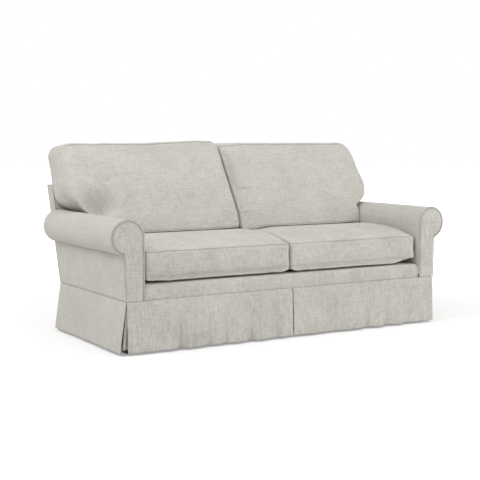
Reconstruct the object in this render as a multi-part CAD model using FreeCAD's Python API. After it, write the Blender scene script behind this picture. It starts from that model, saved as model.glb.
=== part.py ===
import FreeCAD, Part
import math
import os

# Two-seat roll-arm sofa with a kick-pleat skirt and four loose cushions, in millimetres.
# X runs along the sofa, Y from front to back and Z up. While the pieces are made, Y is
# counted from the front face of the arm facings; save() then moves the middle of the
# whole depth onto Y = 0. The floor is Z = 0.

Vector = FreeCAD.Vector

# Overall sizes
outside_width = 1812.0
body_depth = 803.0
arm_height = 621.0
back_height = 747.0
back_rake = 18.5
skirt_top = 246.0
hem_height = 10.0
roll_radius = 83.0
roll_overhang = 72.0
seat_clearance = 18.5

# Cloth, padding and fitting gaps
cloth = 3.0
lined_cloth = 4.0
seat_gap = 0.3
deck_gap = 0.6
cushion_gap = 0.9
filling_gap = 0.6
ear_clearance = 1.8
pleat_room = 1.2
smallest_edge = 0.03
overrun = 60.0

# Hardwood frame
rail_thickness = 25.0
seat_rail_bottom = 130.0
seat_rail_height = 130.0
post_width = 58.7
post_depth = 45.0
arm_rail_width = 90.0
arm_rail_drop = 44.0
scroll_board_thickness = 18.0
scroll_board_inset = 4.0
back_rail_height = 80.0
tack_rail_rise = 85.0
tack_rail_height = 60.0
upright_width = 40.0
brace_height = 70.0
corner_block_leg = 70.0
corner_block_height = 60.0

# Lag bolts that hold each post to its side rail
bolt_radius = 4.0
bolt_head_radius = 10.0
bolt_head_height = 4.0
bolt_bite = 48.0
bolt_bore_gap = 0.3
bolt_edge = 15.0
bolt_sides = 8
bolt_head_sides = 6

# Springs, clips and back webbing
spring_wire = 3.6
spring_runs = 6
spring_swing = 44.0
spring_bend_steps = 6
springs_per_side = 2
clip_width = 22.0
clip_length = 18.0
clip_height = 8.0
webbing_width = 50.0
webbing_thickness = 1.5
webbing_per_side = 4

# Deck and front border
border_setback = 10.0
border_height = 318.0
border_corner = 14.0
border_edge_radius = 12.0
tack_band = 24.0
deck_pitch = 1.2
deck_cloth = 1.5

# Arms
arm_wall = 30.0
arm_core_radius = 45.0
arm_lean = 7.0
arm_seam_angle = 78.0
arm_roll_past = 45.0
facing_thickness = 11.7
facing_inset = 8.8
facing_edge = 2.0
welt_radius = 2.4
welt_setback = 4.4
welt_sides = 6

# Back
back_padding = 15.0
back_cover = 3.0
back_top_band = 36.0
back_pad_bottom = 322.0

# Skirt
hem_flare_front = 14.0
hem_flare_side = 32.0
hem_flare_back = 16.0
fold_depth = 4.5
front_fold_count = 6
side_fold_count = 4
back_fold_count = 10
pleat_gap = 4.0
pleat_half_width = 90.0
pleat_lift = 6.0
pleat_cloth = 2.0
corner_pleat_width = 46.0
corner_pleat_spread = 26.0

# Feet
foot_width = 58.0
foot_taper = 6.0
glide_height = 4.0
glide_radius = 16.0
glide_sides = 12
centre_leg_width = 50.0
dust_cloth = 1.2

# Seat cushions
seat_cushion_setback = 19.0
seat_rear_clearance = 12.3
seat_boxing = 148.0
seat_crown = 66.0
cushion_split = 3.0
cushion_draw = 7.0
cushion_corner = 26.0

# Back cushions
back_cushion_base_depth = 355.7
back_cushion_top_depth = 203.0
back_cushion_ledge_height = 945.0
back_cushion_peak = 968.0
back_cushion_rear_height = 905.0
back_cushion_bulge = 34.0
back_cushion_cheek = 40.0
back_cushion_corner = 72.0
back_cushion_low_corner = 30.0
ear_overhang = 108.0
ear_corner = 55.0
ear_notch_corner = 10.0
cushion_cloth = 2.5

# Shares: of the seat crown that the shoulders lose at the cushion's ends, of a side that
# a drawn-in arc takes, and of the folds' depth that is left at the top of the skirt
shoulder_share = 0.6
draw_share = 0.9
fold_top_share = 0.02

# Worked-out places
half_width = outside_width / 2
roll_height = arm_height - roll_radius
roll_centre = half_width + roll_overhang - roll_radius
arm_inner = roll_centre - roll_radius
facing_radius = roll_radius - facing_inset
rake_slope = math.tan(math.radians(back_rake))
pitch_slope = math.tan(math.radians(deck_pitch))
rail_top = seat_rail_bottom + seat_rail_height
frame_offset = lined_cloth + seat_gap
frame_depth_offset = frame_offset + post_depth
webbing_offset = frame_depth_offset + webbing_thickness
pad_offset = webbing_offset + back_padding
inside_back_offset = pad_offset + back_cover
post_outer = half_width - lined_cloth - seat_gap
post_inner = post_outer - post_width
side_rail_inner = post_inner - rail_thickness
tack_rail_bottom = rail_top + tack_rail_rise
arm_roll_length = body_depth + arm_roll_past
board_front = facing_thickness + seat_gap
board_rear = board_front + scroll_board_thickness
front_rail_front = board_rear + seat_gap
front_rail_rear = front_rail_front + rail_thickness
back_reach = body_depth + (back_height - skirt_top) * rake_slope
front_reach = hem_flare_front + fold_depth
middle_depth = (back_reach - front_reach) / 2
deck_top_front = border_height + seat_gap

node_shapes = {}


def save(name, shape):
    # Keeps a finished piece and writes it with the middle of the depth on Y = 0.
    placed = shape.copy()
    placed.translate(Vector(0, -middle_depth, 0))
    node_shapes[name] = placed
    placed.exportStep("parts/" + name + ".step")
    solids = len(placed.Solids)
    print(name, "solids", solids, "volume cm3", round(placed.Volume / 1000, 1))


def box(x0, x1, y0, y1, z0, z1):
    return Part.makeBox(x1 - x0, y1 - y0, z1 - z0, Vector(x0, y0, z0))


def mirrored(shape):
    return shape.mirror(Vector(0, 0, 0), Vector(1, 0, 0))


def closed_face(points):
    return Part.Face(Part.makePolygon(points + [points[0]]))


def back_line(z, offset):
    # Y of the raked outside back at height z, moved forward by a horizontal offset.
    return body_depth + (z - skirt_top) * rake_slope - offset


def raked_slab(x0, x1, near, far, z0, z1):
    # A slab parallel to the raked back, between two offsets and two heights.
    points = [
        Vector(x0, back_line(z0, far), z0),
        Vector(x0, back_line(z0, near), z0),
        Vector(x0, back_line(z1, near), z1),
        Vector(x0, back_line(z1, far), z1),
    ]
    return closed_face(points).extrude(Vector(x1 - x0, 0, 0))


def behind_back(offset, half_span):
    # Everything behind the raked plane at an offset, used to trim what meets the back.
    return raked_slab(-half_span, half_span, -body_depth, offset, 0, arm_height + back_height)


def rounded_outline(corners):
    # A closed wire through (point, reach) pairs. Each corner is an arc that starts and
    # ends at its reach from the point; a reach of zero leaves the corner sharp.
    count = len(corners)
    arcs = []
    for index in range(count):
        point, reach = corners[index]
        if reach == 0:
            arcs.append((point, point, point))
            continue
        to_last = (corners[index - 1][0] - point).normalize()
        to_next = (corners[(index + 1) % count][0] - point).normalize()
        inward = (to_last + to_next).normalize()
        half_angle = to_last.getAngle(to_next) / 2
        radius = reach * math.tan(half_angle)
        depth = radius / math.sin(half_angle) - radius
        start = point + to_last * reach
        end = point + to_next * reach
        arcs.append((start, point + inward * depth, end))
    edges = []
    for index in range(count):
        start, middle, end = arcs[index]
        if start != end:
            edges.append(Part.Arc(start, middle, end).toShape())
        following = arcs[(index + 1) % count][0]
        if (following - end).Length > smallest_edge:
            edges.append(Part.LineSegment(end, following).toShape())
    return Part.Wire(edges)


def side_reach(side_length, corner):
    # How far a drawn-in side's arc runs from its middle point: nearly to the corner.
    return (side_length / 2 - corner) * draw_share


def regular_face(centre, radius, sides, across, up):
    # A regular polygon about a centre, in the plane of two unit directions.
    points = []
    for corner in range(sides):
        angle = 2 * math.pi * corner / sides
        points.append(centre + across * (radius * math.cos(angle)) + up * (radius * math.sin(angle)))
    return closed_face(points)


def flat_sided(low, high):
    # A solid between two level outlines with as many corners, closed by flat sides.
    faces = [closed_face(low), closed_face(high)]
    for index in range(len(low)):
        after = (index + 1) % len(low)
        faces.append(closed_face([low[index], low[after], high[after], high[index]]))
    return Part.makeSolid(Part.makeShell(faces))


# Frame

def bolt_places():
    # Y and Z of the lag bolts through one side rail into its two posts.
    room = bolt_head_radius + seat_gap
    rear_offset = frame_offset + rail_thickness + room
    z = rail_top - bolt_edge
    return [(front_rail_rear + room, z), (back_line(z, rear_offset), z)]


def bolt_bores(radius):
    bores = []
    for y, z in bolt_places():
        start = Vector(side_rail_inner - overrun, y, z)
        length = overrun + rail_thickness + bolt_bite
        outline = regular_face(start, radius, bolt_sides, Vector(0, 1, 0), Vector(0, 0, 1))
        bores.append(outline.extrude(Vector(length, 0, 0)))
    return Part.makeCompound(bores)


def lag_bolts():
    bolts = []
    for y, z in bolt_places():
        start = Vector(side_rail_inner, y, z)
        length = rail_thickness + bolt_bite - seat_gap
        outline = regular_face(start, bolt_radius, bolt_sides, Vector(0, 1, 0), Vector(0, 0, 1))
        shank = outline.extrude(Vector(length, 0, 0))
        flats = regular_face(start, bolt_head_radius, bolt_head_sides, Vector(0, 1, 0), Vector(0, 0, 1))
        head = flats.extrude(Vector(-bolt_head_height, 0, 0))
        bolts.append(shank.fuse(head).removeSplitter())
    return bolts


def seat_rails():
    front = box(-post_inner, post_inner, front_rail_front, front_rail_rear, seat_rail_bottom, rail_top)
    rear_far = frame_offset + rail_thickness
    rear = raked_slab(-post_inner, post_inner, frame_offset, rear_far, seat_rail_bottom, rail_top)
    return front, rear


def side_rail():
    rail = box(side_rail_inner, post_inner, front_rail_rear, back_reach, seat_rail_bottom, rail_top)
    rail = rail.cut(behind_back(frame_offset + rail_thickness, half_width))
    return rail.cut(bolt_bores(bolt_radius + bolt_bore_gap))


def seat_brace():
    brace_top = seat_rail_bottom + brace_height
    half = rail_thickness / 2
    brace = box(-half, half, front_rail_rear, back_reach, seat_rail_bottom, brace_top)
    return brace.cut(behind_back(frame_offset + rail_thickness, half_width))


def front_post():
    top = roll_height - arm_rail_drop
    front = board_rear + seat_gap
    post = box(post_inner, post_outer, front, front + post_depth, seat_rail_bottom, top)
    return post.cut(bolt_bores(bolt_radius + bolt_bore_gap))


def rear_post():
    top = back_height - lined_cloth - seat_gap
    post = raked_slab(post_inner, post_outer, frame_offset, frame_depth_offset, seat_rail_bottom, top)
    return post.cut(bolt_bores(bolt_radius + bolt_bore_gap))


def arm_rail():
    low = roll_height - arm_rail_drop
    outer = post_inner + arm_rail_width
    rail = box(post_inner, outer, board_rear + seat_gap, arm_roll_length - cloth, low, low + rail_thickness)
    return rail.cut(behind_back(frame_depth_offset, half_width))


def back_rails():
    top = back_height - lined_cloth - seat_gap
    low = top - back_rail_height
    tack_top = tack_rail_bottom + tack_rail_height
    half = upright_width / 2
    top_rail = raked_slab(-post_inner, post_inner, frame_offset, frame_depth_offset, low, top)
    tack_rail = raked_slab(half, post_inner, frame_offset, frame_depth_offset,
                           tack_rail_bottom, tack_top)
    upright = raked_slab(-half, half, frame_offset, frame_depth_offset, rail_top, low)
    return top_rail, tack_rail, upright


def corner_block(x, y, x_way, y_way):
    # A triangular glue block in one inside corner of the seat frame.
    low = seat_rail_bottom + (seat_rail_height - corner_block_height) / 2
    points = [
        Vector(x, y, low),
        Vector(x - x_way * corner_block_leg, y, low),
        Vector(x, y + y_way * corner_block_leg, low),
    ]
    return closed_face(points).extrude(Vector(0, 0, corner_block_height))


def corner_blocks():
    rear_far = frame_offset + rail_thickness
    blocks = []
    for side in (-1, 1):
        blocks.append(corner_block(side * side_rail_inner, front_rail_rear, side, 1))
        rear_y = back_line(seat_rail_bottom + seat_rail_height, rear_far)
        block = corner_block(side * side_rail_inner, rear_y, side, -1)
        blocks.append(block.cut(behind_back(rear_far, half_width)))
    return blocks


# Arms

def scroll_outline(inset, low, y):
    # The keyhole shape of an arm front: a straight stem that ends in a round scroll.
    radius = facing_radius - inset
    inner = roll_centre - radius
    outer_low = half_width - inset
    outer_high = outer_low + arm_lean
    drop = math.sqrt(radius ** 2 - (outer_high - roll_centre) ** 2)
    seam_angle = -math.acos((outer_high - roll_centre) / radius)
    middle_angle = (math.pi / 2 + seam_angle) / 2
    crown_angle = math.pi * 0.75
    inner_point = Vector(inner, y, roll_height)
    crown_point = Vector(roll_centre, y, roll_height + radius)
    seam_point = Vector(outer_high, y, roll_height - drop)
    rise = Vector(radius * math.cos(crown_angle), 0, radius * math.sin(crown_angle))
    fall = Vector(radius * math.cos(middle_angle), 0, radius * math.sin(middle_angle))
    centre = Vector(roll_centre, y, roll_height)
    return [
        Part.LineSegment(Vector(inner, y, low), inner_point).toShape(),
        Part.Arc(inner_point, centre + rise, crown_point).toShape(),
        Part.Arc(crown_point, centre + fall, seam_point).toShape(),
        Part.LineSegment(seam_point, Vector(outer_low, y, low)).toShape(),
        Part.LineSegment(Vector(outer_low, y, low), Vector(inner, y, low)).toShape(),
    ]


def arm_facing():
    low = skirt_top + seat_gap
    face = Part.Face(Part.Wire(scroll_outline(0, low, 0)))
    panel = face.extrude(Vector(0, facing_thickness, 0))
    front_edges = [edge for edge in panel.Edges if edge.BoundBox.YMax < facing_edge / 2]
    return panel.makeChamfer(facing_edge, front_edges)


def facing_welt():
    # Piping in the seam round the facing: up the stem, round the scroll and down again.
    low = skirt_top + seat_gap
    edges = scroll_outline(-welt_radius - seat_gap, low, welt_setback)
    foot = edges[0].Vertexes[0].Point
    spring_point = edges[0].Vertexes[1].Point
    seam_point = edges[3].Vertexes[0].Point
    fall = edges[3].Vertexes[1].Point - seam_point
    centre = Vector(roll_centre, welt_setback, roll_height)
    sweep = math.degrees((spring_point - centre).getAngle(seam_point - centre))
    section = []
    for corner in range(welt_sides):
        angle = 2 * math.pi * corner / welt_sides
        section.append(spring_point + Vector(math.cos(angle), math.sin(angle), 0) * welt_radius)
    cord = closed_face(section)
    scroll = cord.revolve(centre, Vector(0, 1, 0), 360 - sweep)
    stem = cord.extrude(foot - spring_point)
    cord.translate(seam_point - spring_point)
    outer = cord.extrude(fall)
    return stem.fuse([scroll, outer]).removeSplitter()


def scroll_board():
    face = Part.Face(Part.Wire(scroll_outline(scroll_board_inset, rail_top, board_front)))
    return face.extrude(Vector(0, scroll_board_thickness, 0))


def arm_section(inset, y):
    # Cross-section of a padded arm: inner wall, roll and the tuck under the roll.
    radius = roll_radius - inset
    inner = arm_inner + inset
    wall = arm_inner + arm_wall
    seam = -math.radians(arm_seam_angle)
    low = rail_top + seat_gap
    middle_angle = (math.pi / 2 + seam) / 2
    crown_angle = math.pi * 0.75
    centre = Vector(roll_centre, y, roll_height)
    inner_point = Vector(inner, y, roll_height)
    crown_point = centre + Vector(0, 0, radius)
    seam_point = centre + Vector(radius * math.cos(seam), 0, radius * math.sin(seam))
    core_point = centre + Vector(arm_core_radius * math.cos(seam), 0, arm_core_radius * math.sin(seam))
    rise = Vector(radius * math.cos(crown_angle), 0, radius * math.sin(crown_angle))
    fall = Vector(radius * math.cos(middle_angle), 0, radius * math.sin(middle_angle))
    shelf = core_point.z
    edges = [
        Part.LineSegment(Vector(inner, y, low), inner_point).toShape(),
        Part.Arc(inner_point, centre + rise, crown_point).toShape(),
        Part.Arc(crown_point, centre + fall, seam_point).toShape(),
        Part.LineSegment(seam_point, core_point).toShape(),
        Part.LineSegment(core_point, Vector(wall, y, shelf)).toShape(),
        Part.LineSegment(Vector(wall, y, shelf), Vector(wall, y, low)).toShape(),
        Part.LineSegment(Vector(wall, y, low), Vector(inner, y, low)).toShape(),
    ]
    return Part.Face(Part.Wire(edges))


def arm_solid(inset, front, rear):
    return arm_section(inset, front).extrude(Vector(0, rear - front, 0))


def trimmed_at_back(shape):
    # Clears the back's post, side border and padded inside face.
    wide = behind_back(frame_depth_offset + seat_gap, half_width + seat_gap)
    narrow = behind_back(inside_back_offset + seat_gap, arm_inner + cloth + arm_wall / 2)
    return shape.cut(wide).cut(narrow)


def arm_cover():
    front = board_front
    rear = arm_roll_length
    outer = arm_solid(0, front, rear)
    inner = arm_solid(cloth, front - overrun, rear - cloth)
    sleeve = outer.cut(inner)
    slot = box(arm_inner + cloth, arm_inner + arm_wall + overrun, front - overrun, rear - cloth,
               0, roll_height - arm_core_radius)
    return trimmed_at_back(sleeve.cut(slot))


def arm_pad():
    pad = arm_solid(cloth + seat_gap, board_front, arm_roll_length - cloth - seat_gap)
    return trimmed_at_back(pad.cut(scroll_board()).cut(arm_rail()).cut(front_post()))


def outside_arm():
    # Leaning panel between the skirt and the tuck under the roll.
    low = skirt_top + seat_gap
    high = roll_height - roll_radius * math.sin(math.radians(arm_seam_angle)) - seat_gap
    outlines = []
    for z, outer in ((low, half_width), (high, half_width + arm_lean)):
        rear = back_line(z, 0)
        outlines.append([
            Vector(outer - lined_cloth, board_front, z),
            Vector(outer, board_front, z),
            Vector(outer, rear, z),
            Vector(outer - lined_cloth, rear, z),
        ])
    return flat_sided(*outlines)


# Back upholstery

def back_side_border():
    # Strip of cloth over the outer face of a rear post, above the arm's tuck.
    low = roll_height - roll_radius * math.sin(math.radians(arm_seam_angle)) + seat_gap
    shoulder = arm_height + seat_gap
    high = back_height - lined_cloth - seat_gap
    inner = half_width - lined_cloth
    lower = raked_slab(inner, half_width, 0, frame_depth_offset, low, shoulder)
    upper = raked_slab(inner, half_width, 0, inside_back_offset, shoulder, high)
    return lower.fuse(upper).removeSplitter()


def outside_back():
    low = skirt_top + seat_gap
    high = back_height - back_top_band - seat_gap
    half = half_width - lined_cloth - seat_gap
    return raked_slab(-half, half, 0, lined_cloth, low, high)


def back_top_border():
    # Cap over the top rail with a flap that hangs down the outside back.
    low = back_height - back_top_band
    half = half_width - lined_cloth - seat_gap
    flap = raked_slab(-half, half, 0, lined_cloth, low, back_height)
    cap = raked_slab(-half_width, half_width, 0, inside_back_offset, back_height - lined_cloth, back_height)
    return flap.fuse(cap).removeSplitter()


def inside_back_layer(near, far):
    # Narrow between the arms and full width above them.
    shoulder = arm_height + seat_gap
    high = back_height - lined_cloth - seat_gap
    narrow = arm_inner - seat_gap
    wide = half_width - lined_cloth - seat_gap
    lower = raked_slab(-narrow, narrow, near, far, back_pad_bottom, shoulder)
    upper = raked_slab(-wide, wide, near, far, shoulder, high)
    return lower.fuse(upper).removeSplitter()


# Springs and webbing

def spring_span():
    rear = back_line(rail_top, frame_offset + rail_thickness / 2)
    return front_rail_front + rail_thickness / 2, rear


def spring_places():
    pitch = side_rail_inner / springs_per_side
    places = []
    for side in (-1, 1):
        for index in range(springs_per_side):
            places.append(side * pitch * (index + 0.5))
    return places


def serpentine(offset):
    # One edge of the flat wire: straight runs joined by half turns, moved to the left
    # of the way of travel by an offset.
    front, rear = spring_span()
    pitch = (rear - front) / spring_runs
    side = 1
    points = [Vector(0, front + offset, 0)]
    for index in range(spring_runs):
        bend = pitch / 2 - side * offset
        centre = Vector(side * spring_swing / 2, front + pitch * (index + 0.5), 0)
        for step in range(spring_bend_steps + 1):
            angle = math.pi * step / spring_bend_steps
            points.append(centre + Vector(side * bend * math.sin(angle), -bend * math.cos(angle), 0))
        side = -side
    points.append(Vector(0, points[-1].y, 0))
    return points


def zigzag_spring():
    # One sinuous spring, pulled flat between its two clips.
    left = serpentine(spring_wire / 2)
    right = serpentine(-spring_wire / 2)
    right.reverse()
    spring = closed_face(left + right).extrude(Vector(0, 0, spring_wire))
    spring.translate(Vector(0, 0, rail_top + seat_gap))
    return spring


def seat_springs():
    model = zigzag_spring()
    springs = []
    for x in spring_places():
        copy = model.copy()
        copy.translate(Vector(x, 0, 0))
        springs.append(copy)
    return springs


def spring_clips():
    # A saddle over the last run of each spring, nailed to the rail.
    clips = []
    for x in spring_places():
        for y in spring_span():
            half = clip_width / 2
            length = clip_length / 2
            block = box(x - half, x + half, y - length, y + length, rail_top, rail_top + clip_height)
            groove = spring_wire / 2 + seat_gap
            throat = box(x - overrun, x + overrun, y - groove, y + groove,
                         rail_top - overrun, rail_top + spring_wire + groove)
            clips.append(block.cut(throat))
    return clips


def back_webbing():
    # Straps from the tack rail to the top rail, in front of the timber.
    low = tack_rail_bottom + seat_gap
    high = back_height - lined_cloth - seat_gap - back_rail_height / 2
    pitch = arm_inner / webbing_per_side
    straps = []
    for side in (-1, 1):
        for index in range(webbing_per_side):
            x = side * pitch * (index + 0.5)
            half = webbing_width / 2
            near = frame_depth_offset
            straps.append(raked_slab(x - half, x + half, near, webbing_offset, low, high))
    return straps


# Deck and border

def deck_height(y):
    # Height of the pitched deck cloth at depth y.
    return deck_top_front - (y - front_rail_rear) * pitch_slope


def deck_slab(front, rear, upper_front, upper_rear, lower_front, lower_rear):
    half = arm_inner - seat_gap
    points = [
        Vector(-half, front, lower_front),
        Vector(-half, rear, lower_rear),
        Vector(-half, rear, upper_rear),
        Vector(-half, front, upper_front),
    ]
    return closed_face(points).extrude(Vector(half * 2, 0, 0))


def deck_layers():
    # A felt pad over the springs and the platform cloth that the cushions rest on.
    front = front_rail_rear + deck_gap
    bottom = rail_top + clip_height + deck_gap
    rear = back_line(bottom, inside_back_offset + seat_gap)
    top_front = deck_height(front)
    top_rear = deck_height(rear)
    cloth_front = top_front - deck_cloth
    cloth_rear = top_rear - deck_cloth
    sheet = deck_slab(front, rear, top_front, top_rear, cloth_front, cloth_rear)
    pad = deck_slab(front, rear, cloth_front, cloth_rear, bottom, bottom)
    return pad, sheet


def front_border():
    # Padded band above the skirt: rolls over the spring edge, and its lower flange
    # carries the skirt.
    half = arm_inner - seat_gap
    band_low = skirt_top - tack_band
    band_front = lined_cloth + seat_gap
    back_face = front_rail_front - seat_gap
    shelf = rail_top + clip_height + seat_gap
    rear = front_rail_rear + seat_gap
    step = skirt_top + seat_gap
    profile = rounded_outline([
        (Vector(-half, band_front, band_low), 0),
        (Vector(-half, back_face, band_low), 0),
        (Vector(-half, back_face, shelf), 0),
        (Vector(-half, rear, shelf), 0),
        (Vector(-half, rear, border_height), 0),
        (Vector(-half, border_setback, border_height), border_edge_radius),
        (Vector(-half, border_setback, step), 0),
        (Vector(-half, band_front, step), 0),
    ])
    body = Part.Face(profile).extrude(Vector(half * 2, 0, 0))
    front_view = rounded_outline([
        (Vector(-half, -overrun, band_low), 0),
        (Vector(half, -overrun, band_low), 0),
        (Vector(half, -overrun, border_height), border_corner),
        (Vector(-half, -overrun, border_height), border_corner),
    ])
    return body.common(Part.Face(front_view).extrude(Vector(0, body_depth, 0)))


def dust_cover():
    low = seat_rail_bottom - dust_cloth
    sheet = box(-side_rail_inner, side_rail_inner, front_rail_front, back_reach, low, seat_rail_bottom)
    sheet = sheet.cut(behind_back(frame_offset + rail_thickness, half_width))
    half = centre_leg_width / 2 + seat_gap
    middle = body_depth / 2
    return sheet.cut(box(-half, half, middle - half, middle + half, low - overrun, rail_top))


# Skirt

def hem_line(start, length, y, count, depth, z):
    # A row of shallow folds: equal arcs that bow out and in by turns.
    step = length / count
    edges = []
    for index in range(count):
        side = -1 if index % 2 == 0 else 1
        first = Vector(start + step * index, y, z)
        last = Vector(start + step * (index + 1), y, z)
        middle = Vector(start + step * (index + 0.5), y + side * depth, z)
        edges.append(Part.Arc(first, middle, last).toShape())
    return edges


def skirt_section(start, length, y, thickness, count, depth, z):
    outer = hem_line(start, length, y, count, depth, z)
    inner = hem_line(start, length, y + thickness, count, depth, z)
    inner.reverse()
    first_end = Part.LineSegment(Vector(start + length, y, z), Vector(start + length, y + thickness, z))
    last_end = Part.LineSegment(Vector(start, y + thickness, z), Vector(start, y, z))
    return Part.Wire(outer + [first_end.toShape()] + inner + [last_end.toShape()])


def skirt_panel(start, length, flare, count, low_start, low_length):
    # One flat-topped panel whose hem swings out and ripples. It faces -Y.
    top = skirt_section(start, length, 0, lined_cloth, count, fold_depth * fold_top_share, skirt_top)
    hem = skirt_section(low_start, low_length, -flare, lined_cloth, count, fold_depth, hem_height)
    return Part.makeLoft([top, hem], True, True)


def front_skirt():
    start = pleat_gap / 2
    length = half_width - start
    return skirt_panel(start, length, hem_flare_front, front_fold_count, start, length)


def side_skirt():
    # Made facing -Y, then turned to face +X.
    start = lined_cloth + seat_gap
    length = body_depth - start
    panel = skirt_panel(start, length, hem_flare_side, side_fold_count, start, length)
    panel.rotate(Vector(0, 0, 0), Vector(0, 0, 1), 90)
    panel.translate(Vector(half_width, 0, 0))
    return panel


def back_skirt():
    half = half_width - lined_cloth - seat_gap
    panel = skirt_panel(-half, half * 2, hem_flare_back, back_fold_count, -half, half * 2)
    panel.rotate(Vector(0, 0, 0), Vector(0, 0, 1), 180)
    panel.translate(Vector(0, body_depth, 0))
    return panel


def pleat_strip(x0, x1, low_x0, low_x1, flare):
    # The underlay that shows through a pleat. It faces -Y and hangs behind the skirt.
    top = skirt_top - tack_band - seat_gap
    low = hem_height + pleat_lift
    fall = (skirt_top - top) / (skirt_top - hem_height)
    low_fall = (skirt_top - low) / (skirt_top - hem_height)
    behind = lined_cloth + seat_gap
    outlines = []
    for z, left, right, y in (
        (low, low_x0, low_x1, behind + fold_depth + pleat_room - flare * low_fall),
        (top, x0, x1, behind + fold_depth * fall - flare * fall),
    ):
        outlines.append([
            Vector(left, y, z),
            Vector(right, y, z),
            Vector(right, y + pleat_cloth, z),
            Vector(left, y + pleat_cloth, z),
        ])
    return flat_sided(*outlines)


def corner_pleats():
    outer = half_width - lined_cloth - pleat_room
    inner = outer - corner_pleat_width
    front = pleat_strip(inner, outer, inner, outer + corner_pleat_spread, hem_flare_front)
    rear = pleat_strip(inner, outer, inner, outer + corner_pleat_spread, hem_flare_back)
    rear.rotate(Vector(0, 0, 0), Vector(0, 0, 1), 180)
    rear.translate(Vector(0, body_depth, 0))
    return [front, mirrored(front), rear, mirrored(rear)]


# Feet

def tapered_foot(x0, y0, width):
    outlines = []
    for z, inset in ((glide_height, foot_taper), (seat_rail_bottom, 0)):
        outlines.append([
            Vector(x0 + inset, y0 + inset, z),
            Vector(x0 + width - inset, y0 + inset, z),
            Vector(x0 + width - inset, y0 + width - inset, z),
            Vector(x0 + inset, y0 + width - inset, z),
        ])
    return flat_sided(*outlines)


def front_foot():
    return tapered_foot(post_outer - foot_width, board_rear + seat_gap, foot_width)


def rear_foot():
    rear = back_line(seat_rail_bottom, frame_offset)
    return tapered_foot(post_outer - foot_width, rear - foot_width, foot_width)


def centre_leg():
    half = centre_leg_width / 2
    return tapered_foot(-half, body_depth / 2 - half, centre_leg_width)


def foot_glides():
    glides = []
    spots = [(0, body_depth / 2)]
    rear_y = back_line(seat_rail_bottom, frame_offset) - foot_width / 2
    for side in (-1, 1):
        x = side * (post_outer - foot_width / 2)
        spots.append((x, board_rear + seat_gap + foot_width / 2))
        spots.append((x, rear_y))
    for x, y in spots:
        rim = regular_face(Vector(x, y, 0), glide_radius, glide_sides, Vector(1, 0, 0), Vector(0, 1, 0))
        glides.append(rim.extrude(Vector(0, 0, glide_height)))
    return glides


# Cushions

def seat_cushion(inset):
    # Drawn-in plan with rounded corners, a top that is crowned from front to rear, and
    # shoulders that round off towards the ends. Made level, then pitched with the deck.
    width = arm_inner - seat_clearance - cushion_split / 2
    x0 = cushion_split / 2 + inset
    x1 = cushion_split / 2 + width - inset
    front = seat_cushion_setback
    rear = front + seat_cushion_depth()
    low = seat_cushion_low()
    y0 = front + inset
    y1 = rear - inset
    corner = cushion_corner - inset
    long_reach = side_reach(x1 - x0, corner)
    short_reach = side_reach(y1 - y0, corner)
    plan = rounded_outline([
        (Vector(x0, y0, low), corner),
        (Vector((x0 + x1) / 2, y0 + cushion_draw, low), long_reach),
        (Vector(x1, y0, low), corner),
        (Vector(x1 - cushion_draw, (y0 + y1) / 2, low), short_reach),
        (Vector(x1, y1, low), corner),
        (Vector((x0 + x1) / 2, y1 - cushion_draw, low), long_reach),
        (Vector(x0, y1, low), corner),
        (Vector(x0 + cushion_draw, (y0 + y1) / 2, low), short_reach),
    ])
    column = Part.Face(plan).extrude(Vector(0, 0, seat_boxing + seat_crown * 2))
    base = low + inset
    welt = low + seat_boxing - inset
    peak = welt + seat_crown
    crest = Vector(x0, (front + rear) / 2, peak)
    side_view = Part.Wire([
        Part.LineSegment(Vector(x0, front, base), Vector(x0, rear, base)).toShape(),
        Part.LineSegment(Vector(x0, rear, base), Vector(x0, rear, welt)).toShape(),
        Part.Arc(Vector(x0, rear, welt), crest, Vector(x0, front, welt)).toShape(),
        Part.LineSegment(Vector(x0, front, welt), Vector(x0, front, base)).toShape(),
    ])
    filling = Part.Face(side_view).extrude(Vector(x1 - x0, 0, 0))
    shoulder = seat_crown * shoulder_share
    front_view = rounded_outline([
        (Vector(x0, front, base), 0),
        (Vector(x1, front, base), 0),
        (Vector(x1, front, peak), shoulder),
        (Vector(x0, front, peak), shoulder),
    ])
    arch = Part.Face(front_view).extrude(Vector(0, rear - front, 0))
    cushion = filling.common(arch).common(column)
    cushion.rotate(Vector(0, front, low), Vector(1, 0, 0), -deck_pitch)
    return cushion


def seat_cushion_low():
    # Height of a seat cushion's front lower edge on the pitched deck.
    return border_height + deck_gap + (front_rail_rear - seat_cushion_setback) * pitch_slope


def seat_cushion_depth():
    # A seat cushion ends a clearance short of the padded inside back.
    rear = back_line(seat_cushion_low(), inside_back_offset)
    return rear - seat_rear_clearance - seat_cushion_setback


def seat_crown_height(y):
    # Height of the fullest line of a seat cushion at depth y.
    half = seat_cushion_depth() / 2
    radius = (half ** 2 + seat_crown ** 2) / (2 * seat_crown)
    away = y - seat_cushion_setback - half
    low = seat_cushion_low()
    rise = seat_crown - radius + math.sqrt(radius ** 2 - away ** 2)
    return low + seat_boxing + rise - (y - seat_cushion_setback) * pitch_slope


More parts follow.
